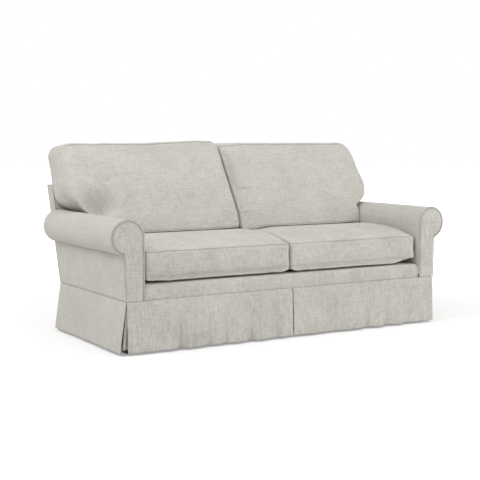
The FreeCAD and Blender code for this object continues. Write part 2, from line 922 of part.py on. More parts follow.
def back_cushion(inset):
    # Front view with an ear over the arm, side view a wedge with a full belly, and front
    # corners that round back into the boxing.
    front = back_line(arm_height, inside_back_offset) - back_cushion_base_depth
    low = seat_crown_height(front) + cushion_gap
    inner = cushion_split / 2
    outer = arm_inner + ear_overhang
    x0 = inner + inset
    x1 = outer - inset
    notch = arm_inner - ear_clearance - inset
    z0 = low + inset
    ledge = arm_height + seat_gap + inset
    peak = back_cushion_peak - inset
    corner = back_cushion_corner - inset
    small = back_cushion_low_corner - inset
    front_view = rounded_outline([
        (Vector(x0, 0, z0), small),
        (Vector(notch, 0, z0), small),
        (Vector(notch, 0, ledge), ear_notch_corner),
        (Vector(x1, 0, ledge), ear_corner - inset),
        (Vector(x1, 0, peak), corner),
        (Vector(x0, 0, peak), small),
    ])
    column = Part.Face(front_view).extrude(Vector(0, back_reach, 0))
    lip_y = back_line(back_cushion_ledge_height, inside_back_offset) - back_cushion_top_depth
    lip = Vector(x0, lip_y, back_cushion_ledge_height - inset)
    toe = Vector(x0, front + inset, z0)
    rear_z = back_cushion_rear_height - inset
    rear_offset = inside_back_offset + seat_gap + inset
    heel = Vector(x0, back_line(z0, rear_offset), z0)
    shoulder = Vector(x0, back_line(rear_z, rear_offset), rear_z)
    lean = (lip - toe).normalize()
    belly = (toe + lip) * 0.5 + Vector(0, -lean.z, lean.y) * (back_cushion_bulge - inset)
    crest = Vector(x0, (lip.y + shoulder.y) / 2, peak)
    side_view = Part.Wire([
        Part.LineSegment(heel, shoulder).toShape(),
        Part.Arc(shoulder, crest, lip).toShape(),
        Part.Arc(lip, belly, toe).toShape(),
        Part.LineSegment(toe, heel).toShape(),
    ])
    filling = Part.Face(side_view).extrude(Vector(x1 - x0, 0, 0))
    across = Vector(0, lean.z, -lean.y)
    start = toe - lean * overrun
    near = start - across * (back_cushion_bulge - inset)
    far = start + across * back_reach
    breadth = Vector(x1 - x0, 0, 0)
    section = rounded_outline([
        (near, back_cushion_cheek),
        (near + breadth, back_cushion_cheek),
        (far + breadth, 0),
        (far, 0),
    ])
    sleeve = Part.Face(section).extrude(lean * (back_cushion_peak + overrun))
    return filling.common(column).common(sleeve)


def cushion_set(name, form):
    # A sewn cover and its filling, for the right-hand and the left-hand cushion.
    outer = form(0)
    cover = outer.cut(form(cushion_cloth))
    filling = form(cushion_cloth + filling_gap)
    save("right_" + name + "_cover", cover)
    save("right_" + name + "_filling", filling)
    save("left_" + name + "_cover", mirrored(cover))
    save("left_" + name + "_filling", mirrored(filling))


def save_pair(name, shape):
    save("right_" + name, shape)
    save("left_" + name, mirrored(shape))


def save_group(name, *shapes):
    # Like pieces of both sides, as separate solids in one node.
    save(name, Part.makeCompound(list(shapes) + [mirrored(shape) for shape in shapes]))


def main():
    os.makedirs("parts", exist_ok=True)
    front_rail, rear_rail = seat_rails()
    top_rail, tack_rail, upright = back_rails()
    save("front_seat_rail", front_rail)
    save("rear_seat_rail", rear_rail)
    save_pair("side_seat_rail", side_rail())
    save("seat_brace", seat_brace())
    save_pair("front_post", front_post())
    save_pair("rear_post", rear_post())
    save("back_top_rail", top_rail)
    save_group("back_tack_rail", tack_rail)
    save("back_upright", upright)
    save_pair("arm_rail", arm_rail())
    save_pair("scroll_board", scroll_board())
    save("corner_blocks", Part.makeCompound(corner_blocks()))
    save_group("lag_bolts", *lag_bolts())
    save("seat_springs", Part.makeCompound(seat_springs()))
    save("spring_clips", Part.makeCompound(spring_clips()))
    save("back_webbing", Part.makeCompound(back_webbing()))
    pad, sheet = deck_layers()
    save("deck_pad", pad)
    save("deck_cloth", sheet)
    save("front_border", front_border())
    save("dust_cover", dust_cover())
    save_pair("arm_pad", arm_pad())
    save_pair("arm_cover", arm_cover())
    save_pair("arm_facing", arm_facing())
    save_group("facing_welts", facing_welt())
    save_pair("outside_arm", outside_arm())
    save_group("back_side_borders", back_side_border())
    save("back_pad", inside_back_layer(webbing_offset, pad_offset))
    save("inside_back", inside_back_layer(pad_offset, inside_back_offset))
    save("outside_back", outside_back())
    save("back_top_border", back_top_border())
    save_pair("front_skirt", front_skirt())
    save_pair("side_skirt", side_skirt())
    save("back_skirt", back_skirt())
    centre = pleat_strip(-pleat_half_width, pleat_half_width, -pleat_half_width, pleat_half_width,
                         hem_flare_front)
    save("centre_pleat", centre)
    save("corner_pleats", Part.makeCompound(corner_pleats()))
    save_pair("front_foot", front_foot())
    save_pair("rear_foot", rear_foot())
    save("centre_leg", centre_leg())
    save("foot_glides", Part.makeCompound(foot_glides()))
    cushion_set("seat_cushion", seat_cushion)
    cushion_set("back_cushion", back_cushion)
    box_all = Part.makeCompound(list(node_shapes.values())).BoundBox
    print("width", round(box_all.XLength, 1), "depth", round(box_all.YLength, 1),
          "height", round(box_all.ZLength, 1))
    print("y", round(box_all.YMin, 2), round(box_all.YMax, 2), "nodes", len(node_shapes))


main()
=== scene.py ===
import math

import bmesh
import bpy
import numpy as np
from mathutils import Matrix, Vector, noise
from mathutils.bvhtree import BVHTree
from mathutils.kdtree import KDTree


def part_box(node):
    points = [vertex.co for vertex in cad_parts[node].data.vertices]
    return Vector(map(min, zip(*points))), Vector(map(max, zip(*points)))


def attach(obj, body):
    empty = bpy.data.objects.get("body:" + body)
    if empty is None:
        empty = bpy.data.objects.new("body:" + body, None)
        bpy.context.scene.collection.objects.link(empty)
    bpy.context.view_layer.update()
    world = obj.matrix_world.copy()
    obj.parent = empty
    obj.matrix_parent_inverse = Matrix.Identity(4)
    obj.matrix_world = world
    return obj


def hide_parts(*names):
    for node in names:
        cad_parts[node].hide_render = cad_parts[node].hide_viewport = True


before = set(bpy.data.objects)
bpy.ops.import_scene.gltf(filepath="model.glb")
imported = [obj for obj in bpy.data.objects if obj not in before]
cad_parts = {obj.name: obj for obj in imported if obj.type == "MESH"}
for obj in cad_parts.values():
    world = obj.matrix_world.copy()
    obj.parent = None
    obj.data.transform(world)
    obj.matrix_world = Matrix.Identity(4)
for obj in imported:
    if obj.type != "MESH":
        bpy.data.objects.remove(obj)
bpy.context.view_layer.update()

scene = bpy.context.scene

# Everything is in metres: X along the sofa, Y from front to back, Z up.
# faceY is the front plane of the arm facings, from which depths are counted.
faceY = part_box("right_arm_facing")[0].y
halfWidth = 0.906
skirtTop = 0.246
bodyDepth = 0.803  # to the raked back's foot, at the top of the skirt
rakeAngle = math.radians(18.5)
rake = math.tan(rakeAngle)
sides = {"right": 1, "left": -1}


def backY(z, offset=0.0):
    # The raked outside back at height z, moved forward by an offset
    return faceY + bodyDepth + (z - skirtTop) * rake - offset


def smoothStep(low, high, value):
    t = np.clip((value - low) / (high - low), 0.0, 1.0)
    return t * t * (3 - 2 * t)


def ripple(x, y, z, size, seed=0.0):
    # Smooth noise from -1 to 1 with bumps of about one size
    return noise.noise(Vector((x / size + seed, y / size - seed, z / size + 2 * seed)))


# Materials: noise stretched along the threads or the grain

def newMaterial(name):
    material = bpy.data.materials.new(name)
    material.use_nodes = True
    tree = material.node_tree
    shader = tree.nodes["Principled BSDF"]
    return material, tree, shader


def stretchedNoise(tree, coords, scale, detail, distortion=0.0):
    mapping = tree.nodes.new("ShaderNodeMapping")
    mapping.inputs["Scale"].default_value = scale
    tree.links.new(coords, mapping.inputs["Vector"])
    node = tree.nodes.new("ShaderNodeTexNoise")
    node.inputs["Scale"].default_value = 1.0
    node.inputs["Detail"].default_value = detail
    node.inputs["Roughness"].default_value = 0.55
    node.inputs["Distortion"].default_value = distortion
    tree.links.new(mapping.outputs["Vector"], node.inputs["Vector"])
    return node.outputs["Fac"]


def mathNode(tree, operation, first, second):
    node = tree.nodes.new("ShaderNodeMath")
    node.operation = operation
    for socket, value in zip(node.inputs, (first, second)):
        if isinstance(value, (int, float)):
            socket.default_value = value
        else:
            tree.links.new(value, socket)
    return node.outputs[0]


def colourFrom(tree, shader, field, stops):
    # The surface's colour follows a field, through (position, colour) stops from low to high
    ramp = tree.nodes.new("ShaderNodeValToRGB")
    elements = ramp.color_ramp.elements
    elements[0].position, elements[1].position = stops[0][0], stops[-1][0]
    for position, _ in stops[1:-1]:
        elements.new(position)
    for element, (_, colour) in zip(elements, stops):
        element.color = (*colour, 1)
    tree.links.new(field, ramp.inputs["Fac"])
    tree.links.new(ramp.outputs["Color"], shader.inputs["Base Color"])


def reliefFrom(tree, shader, field, strength, depth):
    bump = tree.nodes.new("ShaderNodeBump")
    bump.inputs["Strength"].default_value = strength
    bump.inputs["Distance"].default_value = depth
    tree.links.new(field, bump.inputs["Height"])
    tree.links.new(bump.outputs["Normal"], shader.inputs["Normal"])


def threadField(tree, coords, weights, across, along, detail):
    # Threads that run along X, Y and Z, each shown where the cloth lies along it
    total = None
    for axis in range(3):
        scale = [across] * 3
        scale[axis] = along
        shown = mathNode(tree, "MULTIPLY", stretchedNoise(tree, coords, scale, detail), weights[axis])
        total = shown if total is None else mathNode(tree, "ADD", total, shown)
    whole = mathNode(tree, "ADD", mathNode(tree, "ADD", weights[0], weights[1]), weights[2])
    return mathNode(tree, "DIVIDE", total, whole)


linenLook = {
    "dark": (0.402, 0.379, 0.322),
    "mean": (0.556, 0.538, 0.492),
    "light": (0.690, 0.681, 0.650),
    "slub": (170.0, 22.0),     # thick places per metre, across and along the threads
    "weave": (320.0, 50.0),
    "yarn": (700.0, 90.0),
    "upright": 1.18,           # the upright threads show more than the others
    "patchScale": 7.0,
    "shares": (0.50, 0.34, 0.16),  # of slubs, weave and patches in the colour
    "spread": 0.17,            # from the mean to the dark and the light, in the mixed noise
    "relief": (0.35, 0.0010),  # strength and depth
}


def leaning(tree, vector, lean):
    # Turned about X, so that the threads of a leaning cushion run along it
    node = tree.nodes.new("ShaderNodeVectorRotate")
    node.rotation_type = "X_AXIS"
    node.inputs["Angle"].default_value = lean
    tree.links.new(vector, node.inputs["Vector"])
    return node.outputs["Vector"]


def linenMaterial(name, shade=1.0, contrast=1.2, lean=0.0, upright=linenLook["upright"]):
    # Slubs, weave and soft patches make the colour; weave and yarn make the relief
    look = linenLook
    material, tree, shader = newMaterial(name)
    texture = tree.nodes.new("ShaderNodeTexCoord")
    coords = leaning(tree, texture.outputs["Object"], lean)
    split = tree.nodes.new("ShaderNodeSeparateXYZ")
    tree.links.new(leaning(tree, texture.outputs["Normal"], lean), split.inputs[0])
    weights = []
    for axis in range(3):
        squared = mathNode(tree, "MULTIPLY", split.outputs[axis], split.outputs[axis])
        facing = mathNode(tree, "SUBTRACT", 1.0, squared)
        weights.append(mathNode(tree, "MULTIPLY", facing, upright if axis == 2 else 2 - upright))
    slub = threadField(tree, coords, weights, *look["slub"], 3.0)
    weave = threadField(tree, coords, weights, *look["weave"], 2.0)
    yarn = threadField(tree, coords, weights, *look["yarn"], 1.0)
    patch = stretchedNoise(tree, coords, (look["patchScale"],) * 3, 2.0)
    slub, weaveTone, patch = [mathNode(tree, "MULTIPLY", field, share)
                              for field, share in zip((slub, weave, patch), look["shares"])]
    mixed = mathNode(tree, "ADD", mathNode(tree, "ADD", slub, weaveTone), patch)
    spread = look["spread"] / contrast
    tones = [[c * shade for c in look[tone]] for tone in ("dark", "mean", "light")]
    colourFrom(tree, shader, mixed, list(zip((0.5 - spread, 0.5, 0.5 + spread), tones)))
    threads = mathNode(tree, "ADD", yarn, mathNode(tree, "MULTIPLY", weave, 0.8))
    reliefFrom(tree, shader, threads, *look["relief"])
    shader.inputs["Roughness"].default_value = 0.92
    shader.inputs["Specular IOR Level"].default_value = 0.25
    shader.inputs["Sheen Weight"].default_value = 0.10
    shader.inputs["Sheen Roughness"].default_value = 0.5
    return material


def grainMaterial(name, dark, light, across, along, axis, roughness, metallic=0.0, bumpDepth=0.0004):
    # Streaks along one axis: wood grain, drawn wire, woven jute
    material, tree, shader = newMaterial(name)
    coords = tree.nodes.new("ShaderNodeTexCoord").outputs["Object"]
    scale = [across] * 3
    scale[axis] = along
    streaks = stretchedNoise(tree, coords, scale, 4.0, 0.6)
    colourFrom(tree, shader, streaks, [(0.32, dark), (0.68, light)])
    reliefFrom(tree, shader, streaks, 0.4, bumpDepth)
    shader.inputs["Roughness"].default_value = roughness
    shader.inputs["Metallic"].default_value = metallic
    return material


linen = linenMaterial("oatmealLinen")
linenCalm = linenMaterial("calmLinen", 1.0, 0.75)
linenLeaning = linenMaterial("leaningLinen", 1.0, 1.0, math.radians(32.6), 0.85)
# Piping in the cover's linen, painted 7% darker as the shade along its seams
paintedShadePipingLinen = linenMaterial("pipingLinenPaintedShade", 0.93)
platformCloth = linenMaterial("platformCloth", 0.86)
frameWood = {}  # one for each way that the grain can run
for axis in range(3):
    frameWood[axis] = grainMaterial("frameBirch" + "XYZ"[axis], (0.44, 0.27, 0.13), (0.66, 0.46, 0.26),
                                    60, 5, axis, 0.6)
boardWood = grainMaterial("boardPly", (0.5, 0.33, 0.18), (0.7, 0.52, 0.32), 70, 6, 2, 0.65)
springSteel = grainMaterial("springSteel", (0.1, 0.1, 0.11), (0.2, 0.2, 0.21), 300, 20, 0, 0.35, 0.9)
boltSteel = grainMaterial("boltSteel", (0.45, 0.45, 0.46), (0.66, 0.66, 0.67), 400, 40, 0, 0.35, 1.0)
jute = grainMaterial("juteWebbing", (0.26, 0.19, 0.11), (0.48, 0.38, 0.24), 420, 40, 2, 0.9, 0.0, 0.001)
lining = grainMaterial("blackLining", (0.012, 0.012, 0.013), (0.03, 0.03, 0.032), 350, 120, 0, 0.95)
footStain = grainMaterial("blackFoot", (0.008, 0.007, 0.007), (0.028, 0.026, 0.025), 160, 12, 2, 0.45)
glideNylon = grainMaterial("glideNylon", (0.1, 0.1, 0.1), (0.16, 0.16, 0.16), 200, 200, 0, 0.5)
print("materials made")


# Helpers that make and change meshes

def newPiece(name, points, faces, material):
    mesh = bpy.data.meshes.new(name)
    mesh.from_pydata([tuple(p) for p in points], [], faces)
    mesh.validate()
    mesh.materials.append(material)
    piece = bpy.data.objects.new(name, mesh)
    scene.collection.objects.link(piece)
    cleaned = bmesh.new()
    cleaned.from_mesh(mesh)
    bmesh.ops.recalc_face_normals(cleaned, faces=cleaned.faces)
    cleaned.to_mesh(mesh)
    cleaned.free()
    for polygon in mesh.polygons:
        polygon.use_smooth = True
    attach(piece, "frame")
    return piece


def gridFaces(rows, columns, closed=False):
    faces = []
    for r in range(rows - 1):
        row, above = r * columns, (r + 1) * columns
        for c in range(columns if closed else columns - 1):
            after = (c + 1) % columns
            faces.append((row + c, row + after, above + after, above + c))
    return faces


def clothPanel(name, pointAt, columns, rows, thickness, outward, material=linen):
    # A sheet through pointAt(u, v), thickened on its inner side, with u and v from 0 to 1
    points = [pointAt(c / (columns - 1), r / (rows - 1)) for r in range(rows) for c in range(columns)]
    piece = newPiece(name, points, gridFaces(rows, columns), material)
    mesh = piece.data
    total = sum((Vector(p.normal) * p.area for p in mesh.polygons), Vector())
    if total.dot(Vector(outward)) < 0:
        mesh.flip_normals()
    thick = piece.modifiers.new("thickness", "SOLIDIFY")
    thick.thickness = thickness
    thick.offset = -1
    return piece


def evaluatedMesh(piece):
    graph = bpy.context.evaluated_depsgraph_get()
    return bpy.data.meshes.new_from_object(piece.evaluated_get(graph))


def copyOfNodes(name, nodes, voxel):
    # The CAD solids as one even mesh, ready for shaping
    gathered = bmesh.new()
    for node in nodes:
        gathered.from_mesh(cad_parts[node].data)
    bmesh.ops.remove_doubles(gathered, verts=gathered.verts, dist=0.00002)
    mesh = bpy.data.meshes.new(name)
    gathered.to_mesh(mesh)
    gathered.free()
    piece = bpy.data.objects.new(name, mesh)
    scene.collection.objects.link(piece)
    remesh = piece.modifiers.new("even", "REMESH")
    remesh.mode = "VOXEL"
    remesh.voxel_size = voxel
    fresh = evaluatedMesh(piece)
    piece.modifiers.clear()
    piece.data = fresh
    bpy.data.meshes.remove(mesh)
    for polygon in fresh.polygons:
        polygon.use_smooth = True
    return piece


def coordsOf(mesh):
    flat = np.empty(len(mesh.vertices) * 3, np.float32)
    mesh.vertices.foreach_get("co", flat)
    return flat.reshape(-1, 3).astype(float)


def normalsOf(mesh):
    mesh.update()
    flat = np.empty(len(mesh.vertices) * 3, np.float32)
    mesh.vertices.foreach_get("normal", flat)
    return flat.reshape(-1, 3).astype(float)


def setCoords(mesh, points):
    mesh.vertices.foreach_set("co", np.asarray(points, np.float32).ravel())
    mesh.update()


def edgePairs(mesh):
    flat = np.empty(len(mesh.edges) * 2, np.int32)
    mesh.edges.foreach_get("vertices", flat)
    return flat.reshape(-1, 2)


def relaxed(points, pairs, rounds):
    # In each round every point moves half of the way to the middle of its neighbours
    count = np.zeros(len(points))
    np.add.at(count, pairs.ravel(), 1)
    for _ in range(rounds):
        total = np.zeros_like(points)
        np.add.at(total, pairs[:, 0], points[pairs[:, 1]])
        np.add.at(total, pairs[:, 1], points[pairs[:, 0]])
        points = points + (total / count[:, None] - points) * 0.5
    return points


seamSpacing = 0.006  # between the points of a cushion's seam


def sliceLoop(mesh, planePoint, planeNormal):
    # The closed line where a plane cuts a mesh, as evenly spaced points
    cut = bmesh.new()
    cut.from_mesh(mesh)
    made = bmesh.ops.bisect_plane(cut, geom=cut.verts[:] + cut.edges[:] + cut.faces[:], dist=1e-6,
                                  plane_co=planePoint, plane_no=planeNormal)
    edges = [e for e in made["geom_cut"] if isinstance(e, bmesh.types.BMEdge)]
    linked = {}
    for edge in edges:
        for vert in edge.verts:
            linked.setdefault(vert, []).append(edge)
    best = []
    left = set(edges)
    while left:
        # Always from the lowest edge in X, so that every run gives the same seam
        edge = min(left, key=lambda e: (tuple(e.verts[0].co), tuple(e.verts[1].co)))
        left.discard(edge)
        chain = [edge.verts[0], edge.verts[1]]
        while True:
            onward = [e for e in linked[chain[-1]] if e in left]
            if not onward:
                break
            left.discard(onward[0])
            chain.append(onward[0].other_vert(chain[-1]))
        if len(chain) > len(best):
            best = chain
    line = np.array([v.co[:] for v in best])
    cut.free()
    return evenlySpaced(line, seamSpacing)


def evenlySpaced(line, spacing, closed=True):
    if closed:
        line = np.vstack([line, line[:1]])
    steps = np.linalg.norm(np.diff(line, axis=0), axis=1)
    keep = np.concatenate([[True], steps > 1e-7])
    line = line[keep]
    along = np.concatenate([[0], np.cumsum(np.linalg.norm(np.diff(line, axis=0), axis=1))])
    count = max(8, int(along[-1] / spacing))
    wanted = np.linspace(0, along[-1], count, endpoint=not closed)
    return np.stack([np.interp(wanted, along, line[:, axis]) for axis in range(3)], axis=1)


def smoothLoop(line, rounds, closed=True):
    for _ in range(rounds):
        if closed:
            line = (np.roll(line, 1, axis=0) + line * 2 + np.roll(line, -1, axis=0)) / 4
        else:
            middle = (line[:-2] + line[1:-1] * 2 + line[2:]) / 4
            line = np.vstack([line[:1], middle, line[-1:]])
    return line


def nearest(points, line):
    # Distance from every point to the closest point of a line, and that point's number
    tree = KDTree(len(line))
    for index, p in enumerate(line):
        tree.insert(p, index)
    tree.balance()
    found = [tree.find(p) for p in points]
    return np.array([f[2] for f in found]), np.array([f[1] for f in found])


def weltAlong(name, line, radius, body="frame", closed=True, material=paintedShadePipingLinen):
    # Piping: a round cord in a seam
    curve = bpy.data.curves.new(name, "CURVE")
    curve.dimensions = "3D"
    curve.bevel_depth = radius
    curve.bevel_resolution = 2
    curve.use_fill_caps = True
    spline = curve.splines.new("POLY")
    spline.points.add(len(line) - 1)
    for point, place in zip(spline.points, line):
        point.co = (*place, 1)
    spline.use_cyclic_u = closed
    spline.use_smooth = True
    curve.materials.append(material)
    piece = bpy.data.objects.new(name, curve)
    scene.collection.objects.link(piece)
    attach(piece, body)
    return piece


# Camera, floor and light

cameraSetup = {
    "place": (-2.9303, -4.8251, 0.9841),
    "turn": math.radians(31.0985),
    "dip": math.radians(5.4254),
    "lens": 79.80,
}


def makeCamera(setup):
    data = bpy.data.cameras.new("photoCamera")
    data.lens = setup["lens"]
    data.sensor_width = 36
    data.clip_end = 60
    camera = bpy.data.objects.new("photoCamera", data)
    scene.collection.objects.link(camera)
    turn, dip = setup["turn"], setup["dip"]
    ahead = Vector((math.sin(turn) * math.cos(dip), math.cos(turn) * math.cos(dip), -math.sin(dip)))
    camera.location = setup["place"]
    camera.rotation_mode = "QUATERNION"
    camera.rotation_quaternion = ahead.to_track_quat("-Z", "Y")
    scene.camera = camera


studio = {
    "floorColour": (0.80, 0.80, 0.80, 1),
    "floorHalf": 30,
    "floorLift": (0.28, 1.0),  # light added to the view of the floor, near the sofa and far off, so it is white
    "liftReach": (1.5, 4.5),
    "fillStrength": 0.77,
    "lamps": [                 # name, place, aim, size, watts
        ("topSoftbox", (0.3, -0.8, 3.4), (0, 0, 0.4), 3.0, 8),
        ("frontSoftbox", (2.8, -4.2, 2.0), (0.3, 0, 0.4), 2.0, 52),
        ("leftSoftbox", (-3.0, -0.2, 3.2), (-0.2, 0, 0.4), 1.6, 36),
    ],
}


def viewShare(tree):
    # 1 for what the camera, a mirror or glass shows, otherwise 0
    paths = tree.nodes.new("ShaderNodeLightPath")
    mirrored = mathNode(tree, "MAXIMUM", paths.outputs["Is Glossy Ray"], paths.outputs["Is Transmission Ray"])
    return mathNode(tree, "MAXIMUM", paths.outputs["Is Camera Ray"], mirrored)


def whiteForView(tree, shaderOutput, strength):
    # Adds plain light to what the camera and mirrors see of a surface
    glow = tree.nodes.new("ShaderNodeEmission")
    tree.links.new(mathNode(tree, "MULTIPLY", viewShare(tree), strength), glow.inputs["Strength"])
    add = tree.nodes.new("ShaderNodeAddShader")
    tree.links.new(shaderOutput, add.inputs[0])
    tree.links.new(glow.outputs[0], add.inputs[1])
    return add.outputs[0]


def makeStudio(setup):
    material, tree, shader = newMaterial("paleFloor")
    shader.inputs["Base Color"].default_value = setup["floorColour"]
    shader.inputs["Roughness"].default_value = 1.0
    shader.inputs["Specular IOR Level"].default_value = 0.0
    output = tree.nodes["Material Output"]
    reach = tree.nodes.new("ShaderNodeVectorMath")
    reach.operation = "LENGTH"
    tree.links.new(tree.nodes.new("ShaderNodeTexCoord").outputs["Object"], reach.inputs[0])
    lift = tree.nodes.new("ShaderNodeMapRange")
    spans = setup["liftReach"] + setup["floorLift"]
    for socket, value in zip(("From Min", "From Max", "To Min", "To Max"), spans):
        lift.inputs[socket].default_value = value
    tree.links.new(reach.outputs["Value"], lift.inputs["Value"])
    tree.links.new(whiteForView(tree, shader.outputs[0], lift.outputs[0]), output.inputs["Surface"])
    mesh = bpy.data.meshes.new("studioFloor")
    half = setup["floorHalf"]
    corners = [(-half, -half, 0), (half, -half, 0), (half, half, 0), (-half, half, 0)]
    mesh.from_pydata(corners, [], [(0, 1, 2, 3)])
    mesh.materials.append(material)
    floor = bpy.data.objects.new("studioFloor", mesh)
    scene.collection.objects.link(floor)
    world = bpy.data.worlds.new("studioWorld")
    scene.world = world
    world.use_nodes = True
    tree = world.node_tree
    background = tree.nodes["Background"]
    background.inputs["Color"].default_value = (1, 1, 1, 1)
    lift = mathNode(tree, "MULTIPLY", viewShare(tree), 1.0 - setup["fillStrength"])
    tree.links.new(mathNode(tree, "ADD", lift, setup["fillStrength"]), background.inputs["Strength"])
    for name, place, aim, size, watts in setup["lamps"]:
        data = bpy.data.lights.new(name, "AREA")
        data.shape = "SQUARE"
        data.size = size
        data.energy = watts
        lamp = bpy.data.objects.new(name, data)
        lamp.location = place
        lamp.rotation_mode = "QUATERNION"
        lamp.rotation_quaternion = (Vector(aim) - Vector(place)).to_track_quat("-Z", "Y")
        scene.collection.objects.link(lamp)
    scene.view_settings.view_transform = "Standard"


makeCamera(cameraSetup)
makeStudio(studio)
print("camera and studio made")


# Arms: the padded cover with its roll, the keyhole facing and the outside panel

armShape = {
    "rollX": 0.895, "rollZ": 0.538, "rollRadius": 0.083,
    "wallX": 0.812, "wallThick": 0.030, "wallLow": 0.2625,
    "tuckAngle": math.radians(-78), "coreRadius": 0.045,
    # Front ring, from the groove beside the facing's welt outwards: depth and how far inside the roll
    "ring": [(0.0050, 0.0044), (0.0036, 0.0030), (0.0030, 0.0014), (0.0032, -0.0004), (0.0042, -0.0018),
             (0.0070, -0.0030), (0.0105, -0.0024), (0.0132, -0.0004), (0.0150, 0.0008), (0.0172, 0.0002),
             (0.0215, -0.0010), (0.0300, -0.0012), (0.0420, -0.0002)],
    "rearY": 0.858, "rearRoom": 0.012, "endRound": 0.014, "endInset": 0.010,
    "wallEnd": 0.012,  # the wall goes over into the roll this far below the roll's middle
    "wallPoints": 22, "rollPoints": 72, "stations": 100, "wander": 0.0010, "puckers": 46, "pucker": 0.0010,
}


def armProfile(shape, inset):
    # Wall, roll and tuck as one closed loop of (x, z, outward share)
    x, z, radius = shape["rollX"], shape["rollZ"], shape["rollRadius"] - inset
    loop = []
    wallTop = z - shape["wallEnd"]
    for low in np.linspace(shape["wallLow"], wallTop, shape["wallPoints"]):
        # The padded ring round the facing is flatter down the wall
        flat = 0.3 + 0.7 * float(smoothStep(z - 0.09, wallTop, low)) if inset < 0 else 1.0
        loop.append((shape["wallX"] + inset * flat, low))
    for angle in np.linspace(math.pi, shape["tuckAngle"], shape["rollPoints"]):
        loop.append((x + radius * math.cos(angle), z + radius * math.sin(angle)))
    tuck = shape["tuckAngle"]
    for share in (0.82, 0.66):
        loop.append((x + radius * share * math.cos(tuck), z + radius * share * math.sin(tuck)))
    shelf = z + shape["coreRadius"] * math.sin(tuck)
    wall = shape["wallX"] + shape["wallThick"]
    loop += [(x + shape["coreRadius"] * math.cos(tuck), shelf), (wall + 0.012, shelf), (wall, shelf - 0.01)]
    loop += [(wall, low) for low in np.linspace(shelf - 0.02, shape["wallLow"], 8)]
    return loop


def armDepths(shape):
    # Depths from front to rear, each with how far the cover lies inside the full roll
    depths = list(shape["ring"])
    rear, rounding = shape["rearY"], shape["endRound"]
    depths += [(y, 0.0) for y in np.linspace(0.050, rear - rounding - 0.006, shape["stations"])]
    for step in range(9):
        share = math.sin(math.pi / 2 * step / 8)
        depths.append((rear - rounding * (1 - share), shape["endInset"] * (1 - math.sqrt(1 - share * share))))
    return depths


def armCover(sideName):
    shape = armShape
    side = sides[sideName]
    depths = armDepths(shape)
    points = []
    columns = 0
    for y, inset in depths:
        profile = armProfile(shape, inset)
        columns = len(profile)
        for index, (x, z) in enumerate(profile):
            fromX, fromZ = x - shape["rollX"], z - shape["rollZ"]
            distance = math.hypot(fromX, fromZ)
            push = 0.0
            if index < shape["wallPoints"] + shape["rollPoints"]:
                # Slow waves in the padding, and small pulls round the facing's seam
                push = shape["wander"] * ripple(x * side, y, z, 0.11, 3.0)
                push += 0.5 * shape["wander"] * ripple(x * side, y, z, 0.045, 7.0)
                angle = math.atan2(fromZ, fromX)
                pucker = shape["pucker"] * math.exp(-((y - 0.02) / 0.03) ** 2)
                push += pucker * math.sin(angle * shape["puckers"] + 2 * side)
                push *= float(smoothStep(0.004, 0.02, y))
            if z > shape["rollZ"] - shape["wallEnd"] or fromX > 0:
                x += push * fromX / max(distance, 1e-6)
                z += push * fromZ / max(distance, 1e-6)
            else:
                x -= push
            # Below the roll the rear end follows the raked back
            rear = min(shape["rearY"], backY(z) - faceY - shape["rearRoom"])
            back = (rear - shape["rearY"]) * float(smoothStep(0.3, shape["rearY"], y))
            points.append((side * x, faceY + y + back, z))
    rows = len(depths)
    faces = gridFaces(rows, columns, closed=True)
    faces.append(tuple(range(columns)))
    faces.append(tuple(range((rows - 1) * columns, rows * columns)))
    piece = newPiece(sideName + "ArmCover", points, faces, linenCalm)
    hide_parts(sideName + "_arm_cover", sideName + "_arm_pad")
    return piece


facingShape = {
    "radius": 0.0742, "low": 0.2465, "outerLow": 0.906, "lean": 0.007,
    "puff": 0.0035, "puffReach": 0.03, "weltRadius": 0.0021, "weltRing": 0.0762, "weltDepth": 0.0016,
}


def scrollLine(radius, low, widen, depth, side):
    # The facing's outline: up the inner edge, round the scroll, down the outer edge
    x, z = armShape["rollX"], armShape["rollZ"]
    outerLow = facingShape["outerLow"] + widen
    outerHigh = outerLow + facingShape["lean"]
    turn = -math.acos((outerHigh - x) / radius)
    line = [(x - radius, h) for h in np.linspace(low, z, 60)[:-1]]
    line += [(x + radius * math.cos(a), z + radius * math.sin(a)) for a in np.linspace(math.pi, turn, 90)]
    highZ = z + radius * math.sin(turn)
    line += [(outerHigh + (outerLow - outerHigh) * t, highZ + (low - highZ) * t)
             for t in np.linspace(0, 1, 50)[1:]]
    return np.array([(side * px, faceY + depth, pz) for px, pz in line])


def armFacing(sideName):
    shape = facingShape
    side = sides[sideName]
    piece = copyOfNodes(sideName + "ArmFacing", [sideName + "_arm_facing"], 0.003)
    mesh = piece.data
    points = coordsOf(mesh)
    points = relaxed(points, edgePairs(mesh), 4)
    outline = scrollLine(shape["radius"], shape["low"], 0.0, 0.0, side)
    flat = points.copy()
    flat[:, 1] = faceY
    distance, _ = nearest(flat, outline)
    rise = smoothStep(0.0, shape["puffReach"], distance) * shape["puff"]
    front = points[:, 1] < faceY + 0.006
    wander = np.array([ripple(p[0], p[1], p[2], 0.06, 5.0) for p in points])
    points[:, 1] -= np.where(front, rise + 0.0007 * wander * rise / shape["puff"], 0.0)
    setCoords(mesh, points)
    mesh.materials.clear()
    mesh.materials.append(linen)
    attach(piece, "frame")
    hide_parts(sideName + "_arm_facing")
    ring = scrollLine(shape["weltRing"], shape["low"], 0.0024, shape["weltDepth"], side)
    ring = evenlySpaced(ring, 0.005, closed=False)
    welt = weltAlong(sideName + "FacingWelt", ring, shape["weltRadius"], closed=False)
    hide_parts("facing_welts")


outsideArmShape = {"low": 0.247, "high": 0.4567, "front": 0.0125, "puff": 0.0035, "thickness": 0.0035}


